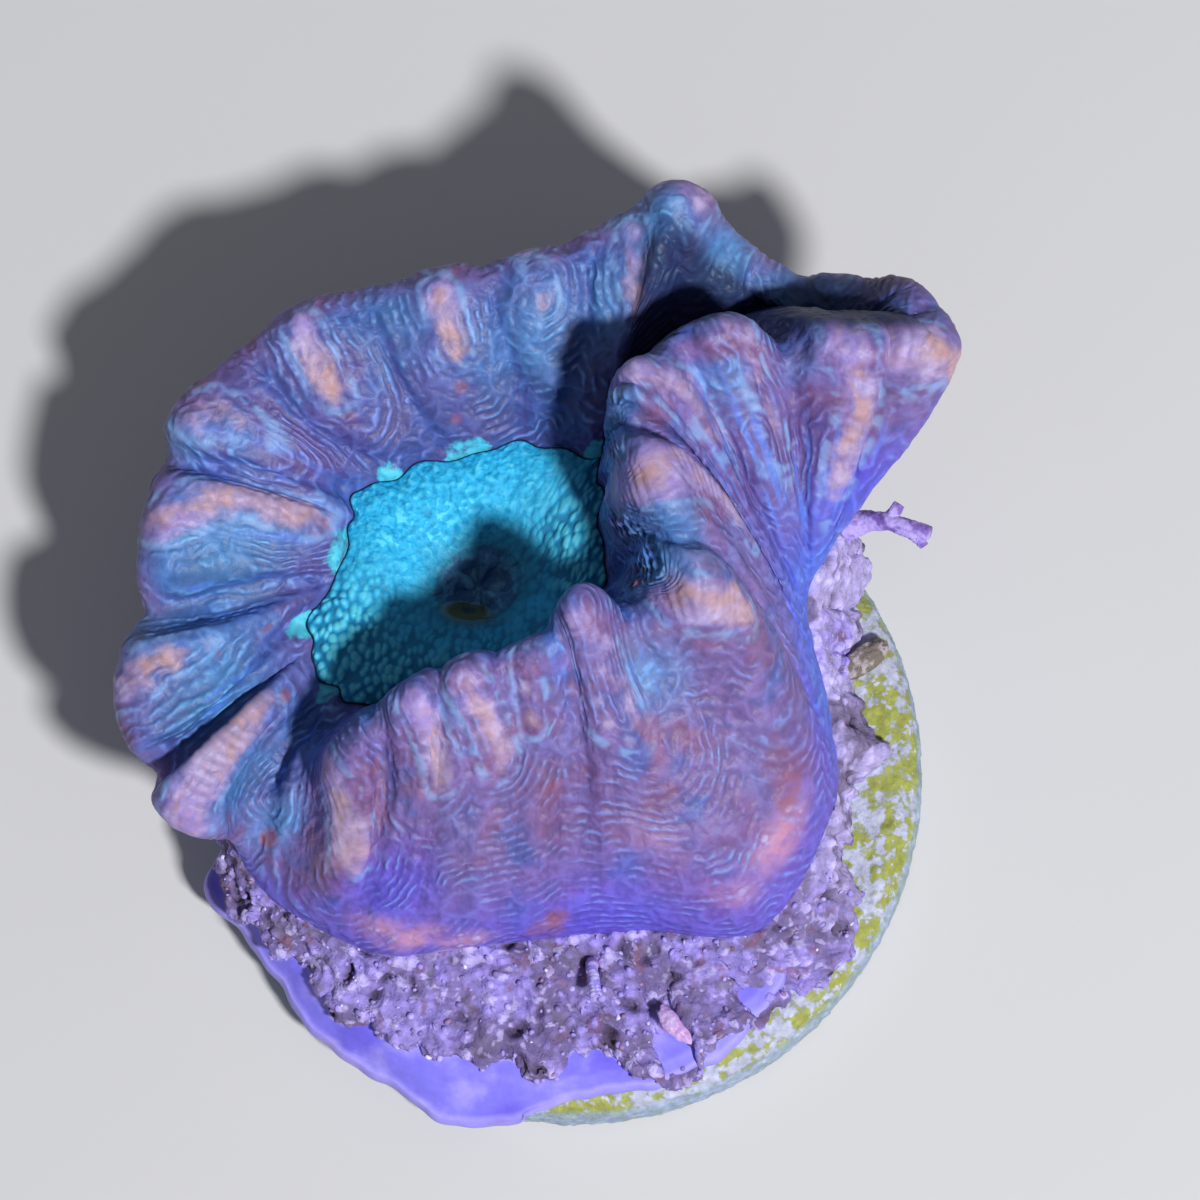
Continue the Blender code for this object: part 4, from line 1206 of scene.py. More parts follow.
# %% Beads and folds, in a geometry tree and in a shader tree
BEAD_SIZE = 0.29
ROW_BEND = 0.1  # how fast the rows of beads rise towards the right
ROW_SQUEEZE = 0.74  # how much closer the beads lie in a row than the rows lie to each other
DISC_BEND = (900.0, 1.0, 0.42)  # the noise's scale and detail, and how far it bends the rows


def bead_recipe(tree, place, size):
    """Adds the nodes and gives back the height of the beads and of the winding folds, 0 to 1."""
    bent = bent_place(tree, place, *DISC_BEND)
    apart = add(tree, "ShaderNodeSeparateXYZ", {0: bent})
    right = larger(tree, calculate(tree, "SUBTRACT", apart.outputs["X"], MOUTH[0] * MM), 0.0)
    sag = times(tree, times(tree, right, right), ROW_BEND / MM)
    across = times(tree, calculate(tree, "SUBTRACT", apart.outputs["Y"], sag), ROW_SQUEEZE)
    squeezed = add(tree, "ShaderNodeCombineXYZ", {"X": apart.outputs["X"], "Y": across})
    scale = calculate(tree, "DIVIDE", 1 / MM, size)
    cells = {"Vector": squeezed.outputs[0], "Scale": scale, "Randomness": 0.85}
    bead = add(tree, "ShaderNodeTexVoronoi", cells, voronoi_dimensions="2D", feature="F1").outputs["Distance"]
    bead = times(tree, bead, remap(tree, fade(tree, noise(tree, place, 0.7, 1.0), 0.35, 0.65), 0.82, 1.3))
    winding = times(tree, noise(tree, place, 0.62, 1.0), 4.0)
    worms = times(tree, calculate(tree, "PINGPONG", winding, 0.5), 2.0)
    lumps = fade(tree, noise(tree, place, 0.26, 2.0), 0.34, 0.66)
    fold = calculate(tree, "MULTIPLY_ADD", fade(tree, worms, 0.0, 0.8), 0.35, times(tree, lumps, 0.65))
    return fade(tree, bead, 0.72, 0.12), fold


mouth_cells, given, result = new_tree(
    "mouth_cells",
    "ShaderNodeTree",
    {"Place": (VECTOR, None), "Size": (FLOAT, BEAD_SIZE)},
    {"Bead": FLOAT, "Fold": FLOAT},
)
bead, fold = bead_recipe(mouth_cells, given["Place"], given["Size"])
mouth_cells.links.new(bead, result["Bead"])
mouth_cells.links.new(fold, result["Fold"])
print("mouth_cells has", len(mouth_cells.nodes), "nodes")

# %% The geometry tree for the mouth disc
tree, given, result = new_tree(
    "disc_relief",
    "GeometryNodeTree",
    {
        "Geometry": (GEOMETRY, None),
        "Bead Size": (FLOAT, BEAD_SIZE),
        "Bead Height": (FLOAT, 0.11),
        "Row Height": (FLOAT, 0.05),
        "Fold Height": (FLOAT, 0.05),
        "Lump Height": (FLOAT, 0.3),
        "Lens Height": (FLOAT, 0.16),
        "Flesh": (MATERIAL, None),
    },
    {"Geometry": GEOMETRY},
)
disc_relief = tree
rest = read(tree, "rest", vector=True)
bead, fold = bead_recipe(tree, rest, given["Bead Size"])
beads_read, rows_read = read(tree, "beads"), read(tree, "rows")
row_lift = times(tree, rows_read, given["Row Height"])
bead_lift = times(tree, beads_read, given["Bead Height"])
rise = times(tree, bead, larger(tree, row_lift, bead_lift))
free = opposite(tree, larger(tree, rows_read, beads_read))
rise = calculate(tree, "MULTIPLY_ADD", times(tree, fold, free), given["Fold Height"], rise)
rise = calculate(tree, "MULTIPLY_ADD", centred(tree, noise(tree, rest, 1.6)), given["Lump Height"], rise)
rise = blend(tree, fade(tree, read(tree, "lens"), 1.25, 0.95), rise, given["Lens Height"])
moved = push_out(tree, given["Geometry"], times(tree, rise, read(tree, "seam")))
end_tree(tree, moved, given["Flesh"], result)

# %% The colours of the mouth disc
DISC_CYAN = colour(44, 184, 236)
DISC_HIGHLIGHT = colour(112, 236, 255)
DISC_GROOVE_SHADE = colour(24, 126, 178)
DISC_SHADE = colour(46, 124, 150)
THROAT_BLUE = colour(58, 104, 146)
THROAT_FOLD = colour(92, 148, 184)
LENS_OLIVE = colour(78, 92, 70)
LENS_RIM = colour(104, 150, 150)
EDGE_SHADE_AND_LENS_DARK = colour(18, 48, 74)

disc_flesh, tree, surface = new_material("mouth_flesh", Roughness=0.55, Specular_IOR_Level=0.2)
rest = read(tree, "rest", vector=True)
cells = add(tree, "ShaderNodeGroup", {"Place": rest}, node_tree=mouth_cells)
bead, fold = cells.outputs["Bead"], cells.outputs["Fold"]
outwards_read, lens_read = read(tree, "outwards"), read(tree, "lens")
beads_read, rows_read = read(tree, "beads"), read(tree, "rows")
beaded = larger(tree, beads_read, rows_read)
free = opposite(tree, beaded)
# Painted shade in the gaps between the beads and in the grooves of the folds.
ground = layer(tree, DISC_CYAN, DISC_GROOVE_SHADE, times(tree, fade(tree, bead, 0.3, 0.0), beaded))
ground = layer(tree, ground, DISC_GROOVE_SHADE, times(tree, fade(tree, fold, 0.4, 0.0), free), 0.6)
patchy = fade(tree, noise(tree, rest, 0.9, 3.0), 0.36, 0.62)
# Painted highlights on the crests of the folds and on the tops of the beads.
crest_highlight = times(tree, fade(tree, fold, 0.55, 1.0), free)
ground = layer(tree, ground, DISC_HIGHLIGHT, crest_highlight, remap(tree, patchy, 0.2, 0.65))
dome_highlight = times(tree, fade(tree, bead, 0.3, 0.8), remap(tree, beads_read, 0.15, 0.85))
ground = layer(tree, ground, DISC_HIGHLIGHT, dome_highlight, beaded)
ground = shade(tree, ground, remap(tree, noise(tree, rest, 0.35, 3.0), 0.76, 1.2))
# Painted shade: the rows are dulled, and the disc darkens towards the mouth.
ground = layer(tree, ground, DISC_SHADE, rows_read, 0.5)
ground = layer(tree, ground, DISC_SHADE, fade(tree, outwards_read, 0.3, 0.0), 0.6)

throat_colour = layer(tree, THROAT_BLUE, THROAT_FOLD, fade(tree, noise(tree, rest, 0.5, 2.0), 0.45, 0.65))
soft_lip = calculate(tree, "MULTIPLY_ADD", centred(tree, noise(tree, rest, 0.5, 2.0)), 0.5, outwards_read)
ground = layer(tree, ground, throat_colour, fade(tree, soft_lip, 0.06, -0.2))
# Painted shade: a dark line where the lip turns down into the throat.
lip_shade_line = times(tree, fade(tree, outwards_read, -0.12, -0.04), fade(tree, outwards_read, 0.03, 0.0))
ground = layer(tree, ground, EDGE_SHADE_AND_LENS_DARK, lip_shade_line, 0.35)
ground = layer(tree, ground, LENS_RIM, fade(tree, lens_read, 1.3, 1.05), 0.6)
ground = layer(tree, ground, LENS_OLIVE, fade(tree, lens_read, 1.1, 0.75))
ground = layer(tree, ground, EDGE_SHADE_AND_LENS_DARK, fade(tree, lens_read, 0.45, 0.2), 0.7)
# Painted shade in the crevice where the disc meets the wall.
ground = layer(tree, ground, EDGE_SHADE_AND_LENS_DARK, fade(tree, outwards_read, 0.968, 0.988))
pimples = times(tree, noise(tree, rest, 0.12, 1.0), 0.4)
bumps = calculate(tree, "ADD", blend(tree, beaded, fold, bead), pimples)
coat(tree, surface, ground, bumps, 0.04, 0.5)
print("mouth_flesh has", len(tree.nodes), "nodes")

# %% Grow the mouth disc
def close_ends(mesh, columns, rows, *ends):
    """Closes one or both ends of a tube-like net with a fan to its middle."""
    edit = bmesh.new()
    edit.from_mesh(mesh)
    for row, flip in ends:
        edit.verts.ensure_lookup_table()
        rim = [edit.verts[column * rows + row] for column in range(columns)]
        middle = edit.verts.new(sum((corner.co for corner in rim), Vector()) / columns)
        for corner, after in zip(rim, rim[1:] + rim[:1]):
            face = edit.faces.new((corner, middle, after) if flip else (after, middle, corner))
            face.smooth = True
    edit.to_mesh(mesh)
    edit.free()


net = mesh_from("disc_net", disc_net.reshape(-1, 3), grid_quads(len(edge_columns), len(outwards)))
add_values(net, rest=disc_net.reshape(-1, 3) * MM, out=normals_of(disc_net).reshape(-1, 3))
add_values(net, **{name: np.broadcast_to(value, beads.shape).ravel() for name, value in disc_values.items()})
grown_disc = grown("mouth_disc", net, disc_relief, Flesh=disc_flesh)
close_ends(grown_disc, len(edge_columns), len(outwards), (0, False))
place_piece("mouth_disc", grown_disc, "coral_flesh", "coral_head")

# %% [markdown]
# ## The ground: a shared roughness
# Cement, glue, rubble and shell are all rough in their own way, yet it is the same thing at
# different sizes: lumps, finer grains, and here and there a pit. So one geometry tree serves
# them all. It moves each point along its normal and stores how high its grains rise and where
# its pits sink, and the materials read those values to paint shade between the grains and in the pits.

# %% A geometry tree for rough ground
def store(tree, geometry, name, value, domain="POINT"):
    """Stores a value on the geometry, where a material can read it by name."""
    inputs = {"Geometry": geometry, "Name": name, "Value": value}
    return add(tree, "GeometryNodeStoreNamedAttribute", inputs, data_type="FLOAT", domain=domain).outputs[0]


tree, given, result = new_tree(
    "rough_ground",
    "GeometryNodeTree",
    {
        "Geometry": (GEOMETRY, None),
        "Lump Size": (FLOAT, 1.2),
        "Lump Height": (FLOAT, 0.3),
        "Grain Size": (FLOAT, 0.35),
        "Grain Height": (FLOAT, 0.12),
        "Pit Depth": (FLOAT, 0.0),
        "Surface": (MATERIAL, None),
    },
    {"Geometry": GEOMETRY},
)
rough_ground = tree
PIT_SPACING = 2.2  # times the size of a grain


def sized_noise(place, size, detail):
    """Noise from -0.5 to 0.5 whose lump size in millimetres comes from a socket."""
    inputs = {"Vector": place, "Scale": calculate(tree, "DIVIDE", 1 / MM, size), "Detail": detail}
    return centred(tree, add(tree, "ShaderNodeTexNoise", inputs).outputs[0])


position = add(tree, "GeometryNodeInputPosition").outputs[0]
lumps = sized_noise(position, given["Lump Size"], 2.0)
grain_scale = calculate(tree, "DIVIDE", 1 / MM, given["Grain Size"])
cells = add(tree, "ShaderNodeTexVoronoi", {"Vector": position, "Scale": grain_scale}, feature="F1")
tone = add(tree, "ShaderNodeSeparateXYZ", {0: cells.outputs["Color"]}).outputs["X"]
grain = times(tree, fade(tree, cells.outputs["Distance"], 0.85, 0.15), remap(tree, tone, 0.45, 1.0))
pits = fade(tree, sized_noise(position, times(tree, given["Grain Size"], PIT_SPACING), 1.0), -0.08, -0.24)
rise = times(tree, lumps, given["Lump Height"])
rise = calculate(tree, "MULTIPLY_ADD", grain, given["Grain Height"], rise)
rise = calculate(tree, "SUBTRACT", rise, times(tree, pits, given["Pit Depth"]))
stored = given["Geometry"]
for name, value in (("grain", grain), ("pit", pits), ("tone", tone)):
    stored = store(tree, stored, name, value)
end_tree(tree, push_out(tree, stored, times(tree, rise, read(tree, "loose"))), given["Surface"], result)

# %% A piece grown with that tree
def rough_piece(name, grid, material, slot, node, lumps, grains, pits=0.0, values=None, close=True):
    """A net grown with rough_ground, closed and placed. Lumps and grains are (size, height)."""
    columns, rows = grid.shape[:2]
    values = {"loose": 1.0, **(values or {})}
    net = mesh_from(name + "_net", grid.reshape(-1, 3), grid_quads(columns, rows))
    add_values(net, out=normals_of(grid).reshape(-1, 3))
    add_values(net, **{key: np.broadcast_to(value, (columns, rows)).ravel() for key, value in values.items()})
    sizes = {"Lump Size": lumps[0], "Lump Height": lumps[1], "Pit Depth": pits}
    sizes.update({"Grain Size": grains[0], "Grain Height": grains[1]})
    made = grown(name, net, rough_ground, Surface=material, **sizes)
    if close:
        close_ends(made, columns, rows, (0, False), (rows - 1, True))
    return place_piece(name, made, slot, node)


# %% [markdown]
# ## The ground: the disc
# The base is a frag disc, cast from cement. It is a turned profile: a flat underside, a small
# chamfer, a straight side and a rounded upper edge. Algae have dyed its upper side yellow-green
# in patches, and where they haven't it is still pale.

# %% The profile of the frag disc
def radial_net(centre, directions, radius, heights):
    """Points from a centre: one column for each direction, one row for each radius and height."""
    x = centre[0] + np.cos(directions)[:, None] * radius
    y = centre[1] + np.sin(directions)[:, None] * radius
    return np.stack([x, y, np.broadcast_to(heights, x.shape)], axis=2)


def place_on(tree):
    """Where a point lies on its piece, for the textures of a material."""
    return add(tree, "ShaderNodeTexCoord").outputs["Object"]


DISC_RADIUS, DISC_HEIGHT, DISC_EDGE_ROUND, DISC_CHAMFER = 12.7, 3.0, 1.1, 0.4
SPIN_COLUMNS = 480

quarter = np.linspace(0, math.pi / 2, 25)
profile = [(radius, 0.0) for radius in np.linspace(1.0, DISC_RADIUS - DISC_CHAMFER, 8)]
for step in np.linspace(0.15, 1, 6):
    profile.append((DISC_RADIUS - DISC_CHAMFER * (1 - step), DISC_CHAMFER * step))
profile += [(DISC_RADIUS, z) for z in np.linspace(0.45, DISC_HEIGHT - DISC_EDGE_ROUND, 20)[:-1]]
profile += [
    (
        DISC_RADIUS - DISC_EDGE_ROUND * (1 - math.cos(angle)),
        DISC_HEIGHT - DISC_EDGE_ROUND * (1 - math.sin(angle)),
    )
    for angle in quarter
]
profile += [(radius, DISC_HEIGHT) for radius in np.linspace(DISC_RADIUS - DISC_EDGE_ROUND, 6.6, 90)[1:]]
profile += [(radius, DISC_HEIGHT) for radius in np.linspace(6.0, 1.0, 5)]
profile = np.array(profile)[::-1]
around = np.arange(SPIN_COLUMNS) / SPIN_COLUMNS * math.tau
spun = radial_net((0, 0), around, profile[None, :, 0], profile[:, 1])
print("The profile has", len(profile), "points")

# %% The frag disc in cement
PALE_CEMENT = colour(196, 200, 224)
ALGAE_YELLOW = colour(166, 172, 82)
ALGAE_OLIVE = colour(126, 142, 92)
SPECK_BLUE = colour(204, 210, 250)
CEMENT_RIM = colour(160, 184, 216)

cement, tree, surface = new_material("algae_cement", Roughness=0.75)
place_here = place_on(tree)
wide_film = times(tree, noise(tree, place_here, 2.6, 2.0), 0.38)
film = calculate(tree, "MULTIPLY_ADD", noise(tree, place_here, 0.55, 3.0), 0.62, wide_film)
ground = layer(tree, PALE_CEMENT, ALGAE_OLIVE, fade(tree, film, 0.45, 0.50), 0.5)
ground = layer(tree, ground, ALGAE_YELLOW, fade(tree, film, 0.468, 0.53))
specks = fade(tree, noise(tree, place_here, 0.36, 2.0), 0.58, 0.66)
ground = layer(tree, ground, SPECK_BLUE, specks, 0.8)
ground = layer(tree, ground, CEMENT_RIM, read(tree, "side"), 0.75)
# Painted shade between the grains.
ground = shade(tree, ground, remap(tree, read(tree, "grain"), 0.74, 1.05))
ground = shade(tree, ground, remap(tree, noise(tree, place_here, 0.2, 3.0), 0.66, 1.26))
coat(tree, surface, ground, noise(tree, place_here, 0.15, 3.0), 0.08, 0.7)

rising = smooth_step(0.0, 0.5, profile[:, 1])  # the underside stays flat
side = smooth_step(DISC_RADIUS - 0.28, DISC_RADIUS - 0.02, profile[:, 0])
rough_piece(
    "cement_disc", spun, cement, "algae_cement", "frag_disc",
    lumps=(1.2, 0.16), grains=(0.36, 0.08), pits=0.12, values={"loose": rising, "side": side},
)

# %% [markdown]
# ## The ground: the glue
# A pad of cured glue holds the coral to the disc. It ran over the disc's edge at the front left
# while it was still soft, so its outline is scalloped there, and thin edges let the light
# through and look paler.

# %% The outlines of the glue and the bed
CURVE_POINTS = 2000  # an outline is measured at this many of its points


def edge_towards(knots, centre, directions):
    """How far an outline lies from a centre, in each direction."""
    at = np.linspace(0, len(knots), CURVE_POINTS, endpoint=False)
    x, y = (closed_curve(knots, at)[:, :2] - centre).T
    return np.interp(directions, np.arctan2(y, x), np.hypot(x, y), period=math.tau)


def ripples(directions, *waves):
    """A sum of waves round a circle; each is (how many, how high, phase)."""
    return sum(height * np.sin(count * directions + phase) for count, height, phase in waves)


GLUE_OUTLINE = (
    (-13.2, -4.3), (-11.9, -5.9), (-10.9, -7.4), (-9.2, -9.5), (-7.3, -11.0), (-5.6, -12.1),
    (-4.4, -12.7), (-3.0, -12.7), (-1.0, -12.4), (0.4, -11.9), (3.1, -11.4), (5.2, -10.6),
    (6.6, -9.0), (8.2, -6.4), (8.4, -3.0), (8.6, 0.5), (8.6, 4.0), (8.6, 7.2),
    (6.8, 9.4), (3.4, 10.7), (-0.6, 11.2), (-4.6, 10.6), (-8.2, 8.6), (-10.6, 5.6),
    (-12.0, 1.8), (-12.6, -2.2),
)
CRUST_OUTLINE = (
    (-12.1, -5.2), (-9.4, -7.4), (-8.6, -8.9), (-6.8, -9.6), (-5.1, -10.5), (-3.2, -10.5),
    (-1.0, -11.2), (0.2, -10.2), (2.3, -10.8), (3.6, -12.0), (4.6, -10.3), (6.4, -9.2),
    (8.2, -8.0), (10.0, -6.5), (9.8, -3.9), (9.9, -1.0), (11.2, 0.8), (9.9, 2.4),
    (10.0, 4.6), (10.4, 6.6), (10.2, 8.6), (8.2, 10.2), (4.4, 11.6), (0.0, 12.1),
    (-4.6, 11.8), (-8.4, 9.7), (-11.4, 6.4), (-12.5, 2.0), (-12.7, -2.0),
)
HEAD_CENTRE = np.array((-0.8, 2.2))
print("The glue's outline has", len(GLUE_OUTLINE), "knots, and the bed's has", len(CRUST_OUTLINE))

# %% The net of the glue pad
GLUE_TOP, GLUE_LIP_BOTTOM = 3.9, 1.7
COLUMNS_ROUND = 720

around = np.arange(COLUMNS_ROUND) / COLUMNS_ROUND * math.tau
glue_edge = edge_towards(GLUE_OUTLINE, (0, 0), around)
glue_edge = glue_edge + ripples(around, (13, 0.08, 0.4), (29, 0.05, 1.9), (61, 0.03, 0.7))
over_rim = smooth_step(12.5, 12.9, glue_edge)[:, None]
share = np.linspace(0.4, 1.0, 90)[None, :]
radius = glue_edge[:, None] * share
top = GLUE_TOP - 1.3 * smooth_step(11.6, 13.6, radius) - 0.2 * smooth_step(0.95, 1.0, share)
bottom = np.where(over_rim > 0.5, GLUE_LIP_BOTTOM, DISC_HEIGHT - 0.05)
roll = np.linspace(0, math.pi / 2, 12)[None, 1:]
roll_radius = glue_edge[:, None] + 0.18 * np.sin(roll)
roll_height = bottom + (top[:, -1:] - bottom) * np.cos(roll)
under = np.linspace(1.0, 0.4, 10)[None, :]
under_radius = glue_edge[:, None] * under
under_height = np.where(under_radius > DISC_RADIUS + 0.05, bottom, DISC_HEIGHT - 0.3)
glue_radius = np.concatenate([radius, roll_radius, under_radius], axis=1)
glue_height = np.concatenate([top, roll_height, under_height], axis=1)
glue_net = radial_net((0, 0), around, glue_radius, glue_height)

bed_edge = edge_towards(CRUST_OUTLINE, HEAD_CENTRE, around)
EDGE_SMOOTHING = 24  # rounds of smoothing
for _ in range(EDGE_SMOOTHING):
    bed_edge = (np.roll(bed_edge, 1) + 2 * bed_edge + np.roll(bed_edge, -1)) / 4
bed_ripples = ((31, 0.14, 0.3), (47, 0.12, 2.0), (89, 0.07, 1.2), (131, 0.05, 0.1))
bed_edge = (bed_edge + ripples(around, *bed_ripples))[:, None]
from_head_x, from_head_y = ((glue_net[:, :, axis] - HEAD_CENTRE[axis]) for axis in (0, 1))
bed_here = np.interp(np.arctan2(from_head_y, from_head_x), around, bed_edge[:, 0], period=math.tau)
past_bed = np.hypot(from_head_x, from_head_y) - bed_here
shore = within(past_bed, -0.1, 0.1, 0.14, 0.3)  # a pale line where the glue meets the bed
thin = np.concatenate([smooth_step(0.985, 1.0, share), np.ones_like(roll), np.ones_like(under)], axis=1)
print(f"The glue reaches up to {glue_edge.max():.1f} mm from the disc's middle")

# %% The glue pad
GLUE_VIOLET = colour(132, 124, 250)
GLUE_PALE = colour(196, 184, 255)
GLUE_DEEP = colour(108, 94, 232)

glue, tree, surface = new_material("cured_glue", Roughness=0.6)
place_here = place_on(tree)
ground = layer(tree, GLUE_VIOLET, GLUE_DEEP, fade(tree, noise(tree, place_here, 3.0, 2.0), 0.45, 0.7))
ground = layer(tree, ground, GLUE_PALE, fade(tree, noise(tree, place_here, 1.8, 5.0), 0.5, 0.7), 0.45)
ground = layer(tree, ground, GLUE_PALE, read(tree, "shore"), 0.6)
ground = layer(tree, ground, GLUE_PALE, read(tree, "thin"), 0.4)
ground = shade(tree, ground, remap(tree, noise(tree, place_here, 0.25, 3.0), 0.84, 1.12))
coat(tree, surface, ground, noise(tree, place_here, 0.6, 3.0), 0.06, 0.4)

rough_piece(
    "glue_skin", glue_net, glue, "cured_glue", "glue_pad",
    lumps=(2.4, 0.16), grains=(1.1, 0.03), values={"thin": thin, "shore": shore},
)

# %% [markdown]
# ## The ground: the rubble bed
# Sand and bits of shell are bedded round the coral's foot, and coralline algae grow over them.
# The bed is a ring-shaped net, from under the flesh out to a ragged edge. At the right it is a
# bank of pale stone. The loose grains on it are one small ball, scattered by Geometry Nodes with
# a random size, turn and tint, because no one would place eight hundred grains by hand.

# %% The net of the rubble bed
BED_START = -0.18  # how far in under the flesh the bed starts, as a share of its width

foot_at = closed_curve(FEET, np.linspace(0, len(FEET), CURVE_POINTS, endpoint=False))
foot_angle = np.arctan2(foot_at[:, 1] - HEAD_CENTRE[1], foot_at[:, 0] - HEAD_CENTRE[0])
foot_reach = edge_towards(FEET, HEAD_CENTRE, around)[:, None]
foot_z = np.interp(around, foot_angle, foot_at[:, 2], period=math.tau)[:, None]
edge_x = HEAD_CENTRE[0] + np.cos(around)[:, None] * bed_edge
edge_y = HEAD_CENTRE[1] + np.sin(around)[:, None] * bed_edge
edge_turn = np.arctan2(edge_y, edge_x)[:, 0]
glue_reach = np.interp(edge_turn, around, glue_edge, period=math.tau)[:, None]
on_glue = smooth_step(0.1, -0.3, np.hypot(edge_x, edge_y) - glue_reach)
floor_z = DISC_HEIGHT - 0.1 + on_glue * (GLUE_TOP - DISC_HEIGHT)
bank = smooth_step(50, 25, np.abs((np.degrees(around) - 5 + 180) % 360 - 180))[:, None]
step = np.linspace(BED_START, 1, 92)[None, :]
ease = smooth_step(0, 1, step) ** np.where(bank > 0.5, 1.6, 0.8)
edge_top = floor_z + 0.55 + 0.5 * bank
bed_top = foot_z + 0.12 + (edge_top - foot_z - 0.12) * ease
bed_radius = foot_reach + (bed_edge - foot_reach) * step
roll = np.linspace(0, math.pi / 2, 10)[None, 1:]
roll_radius = bed_edge + 0.22 * np.sin(roll)
roll_height = floor_z + (edge_top - floor_z) * np.cos(roll)
inner_radius = foot_reach + (bed_edge - foot_reach) * BED_START
under_radius = np.concatenate([bed_edge * 0.97, inner_radius, inner_radius], axis=1)
under_height = np.concatenate([floor_z, floor_z, bed_top[:, :1]], axis=1)
bed_net = radial_net(
    HEAD_CENTRE,
    around,
    np.concatenate([bed_radius, roll_radius, under_radius], axis=1),
    np.concatenate([bed_top, roll_height, under_height], axis=1),
)
open_rows = np.concatenate([smooth_step(BED_START, 0.0, step)[0], np.ones(roll.size), np.zeros(3)])
stony = bank * smooth_step(0.1, 0.5, open_rows)[None, :]
print(f"The bed is a net of {bed_net.shape[0]} columns and {bed_net.shape[1]} rows")

# %% The rubble bed
RUBBLE_BROWN = colour(134, 118, 176)
RUBBLE_LILAC = colour(170, 154, 240)
RUBBLE_PALE = colour(210, 198, 255)
RUBBLE_RED = colour(140, 92, 116)
RUBBLE_GREY = colour(126, 114, 148)
DEBRIS_BROWN = colour(108, 92, 124)
PIT_PAINTED_SHADE = colour(64, 50, 66)

rubble, tree, surface = new_material("sand_rubble", Roughness=0.8, Specular_IOR_Level=0.3)
place_here = place_on(tree)
tone_read, stony_read = read(tree, "tone"), read(tree, "stony")
wide = noise(tree, place_here, 1.8, 4.0)
lilac = fade(tree, calculate(tree, "MULTIPLY_ADD", tone_read, 0.22, wide), 0.5, 0.72)
ground = layer(tree, RUBBLE_BROWN, RUBBLE_LILAC, lilac)
ground = layer(tree, ground, RUBBLE_GREY, fade(tree, noise(tree, place_here, 1.1, 4.0), 0.54, 0.66), 0.7)
ground = layer(tree, ground, RUBBLE_RED, fade(tree, noise(tree, place_here, 0.7, 2.0), 0.58, 0.68), 0.6)
ground = layer(tree, ground, RUBBLE_PALE, calculate(tree, "GREATER_THAN", tone_read, 0.84), 0.6)
ground = layer(tree, ground, RUBBLE_PALE, fade(tree, noise(tree, place_here, 0.4, 1.0), 0.6, 0.72), 0.7)
film = times(tree, stony_read, fade(tree, wide, 0.66, 0.5))
ground = layer(tree, ground, RUBBLE_PALE, film, 0.75)
debris = times(tree, stony_read, fade(tree, noise(tree, place_here, 2.2, 3.0), 0.54, 0.6))
ground = layer(tree, ground, DEBRIS_BROWN, debris, 0.75)
# Painted shade between the grains and, two lines down, in the pits.
ground = shade(tree, ground, remap(tree, read(tree, "grain"), 0.66, 1.1))
ground = shade(tree, ground, remap(tree, noise(tree, place_here, 0.16, 3.0), 0.66, 1.26))
ground = layer(tree, ground, PIT_PAINTED_SHADE, read(tree, "pit"), 0.85)
coat(tree, surface, ground, noise(tree, place_here, 0.14, 4.0), 0.1, 0.9)

loose = open_rows[None, :] * (1 - 0.35 * stony)
sandy = open_rows[None, :] * (1 - stony)
bed = rough_piece(
    "rubble_bed", bed_net, rubble, "sand_rubble", "rubble_crust",
    lumps=(1.0, 0.6), grains=(0.42, 0.26), pits=0.4, close=False,
    values={"loose": loose, "stony": stony, "sandy": sandy},
)

# %% Grains scattered by Geometry Nodes
def random_value(tree, low, high, seed):
    """A random number, or a random vector, between two ends."""
    first, kind = (0, "FLOAT_VECTOR") if isinstance(low, tuple) else (2, "FLOAT")
    inputs = {first: low, first + 1: high, "Seed": seed}
    return add(tree, "FunctionNodeRandomValue", inputs, data_type=kind).outputs[first // 2]


tree, given, result = new_tree(
    "scatter_grains",
    "GeometryNodeTree",
    {
        "Geometry": (GEOMETRY, None),
        "Density": (FLOAT, 2.6e6),
        "Smallest": (FLOAT, 0.12),
        "Largest": (FLOAT, 0.30),
        "Seed": (WHOLE, 4),
        "Grain": (MATERIAL, None),
    },
    {"Geometry": GEOMETRY},
)
scatter = tree
density = times(tree, given["Density"], read(tree, "sandy"))
inputs = {"Mesh": given["Geometry"], "Density": density, "Seed": given["Seed"]}
spread = add(tree, "GeometryNodeDistributePointsOnFaces", inputs, distribute_method="RANDOM")
ball = add(tree, "GeometryNodeMeshUVSphere", {"Segments": 7, "Rings": 5, "Radius": 0.5 * MM}).outputs["Mesh"]
turned = random_value(tree, (0.0, 0.0, 0.0), (math.tau, math.tau, math.tau), 1)
uneven = random_value(tree, (0.6, 0.5, 0.4), (1.3, 1.2, 1.0), 2)
size = {0: uneven, "Scale": random_value(tree, given["Smallest"], given["Largest"], 3)}
size = add(tree, "ShaderNodeVectorMath", size, operation="SCALE").outputs[0]
inputs = {"Points": spread.outputs["Points"], "Instance": ball, "Rotation": turned, "Scale": size}
seeded = add(tree, "GeometryNodeInstanceOnPoints", inputs).outputs[0]
tinted = store(tree, seeded, "tint", random_value(tree, 0.0, 1.0, 5), domain="INSTANCE")
end_tree(tree, tinted, given["Grain"], result, smooth=True)

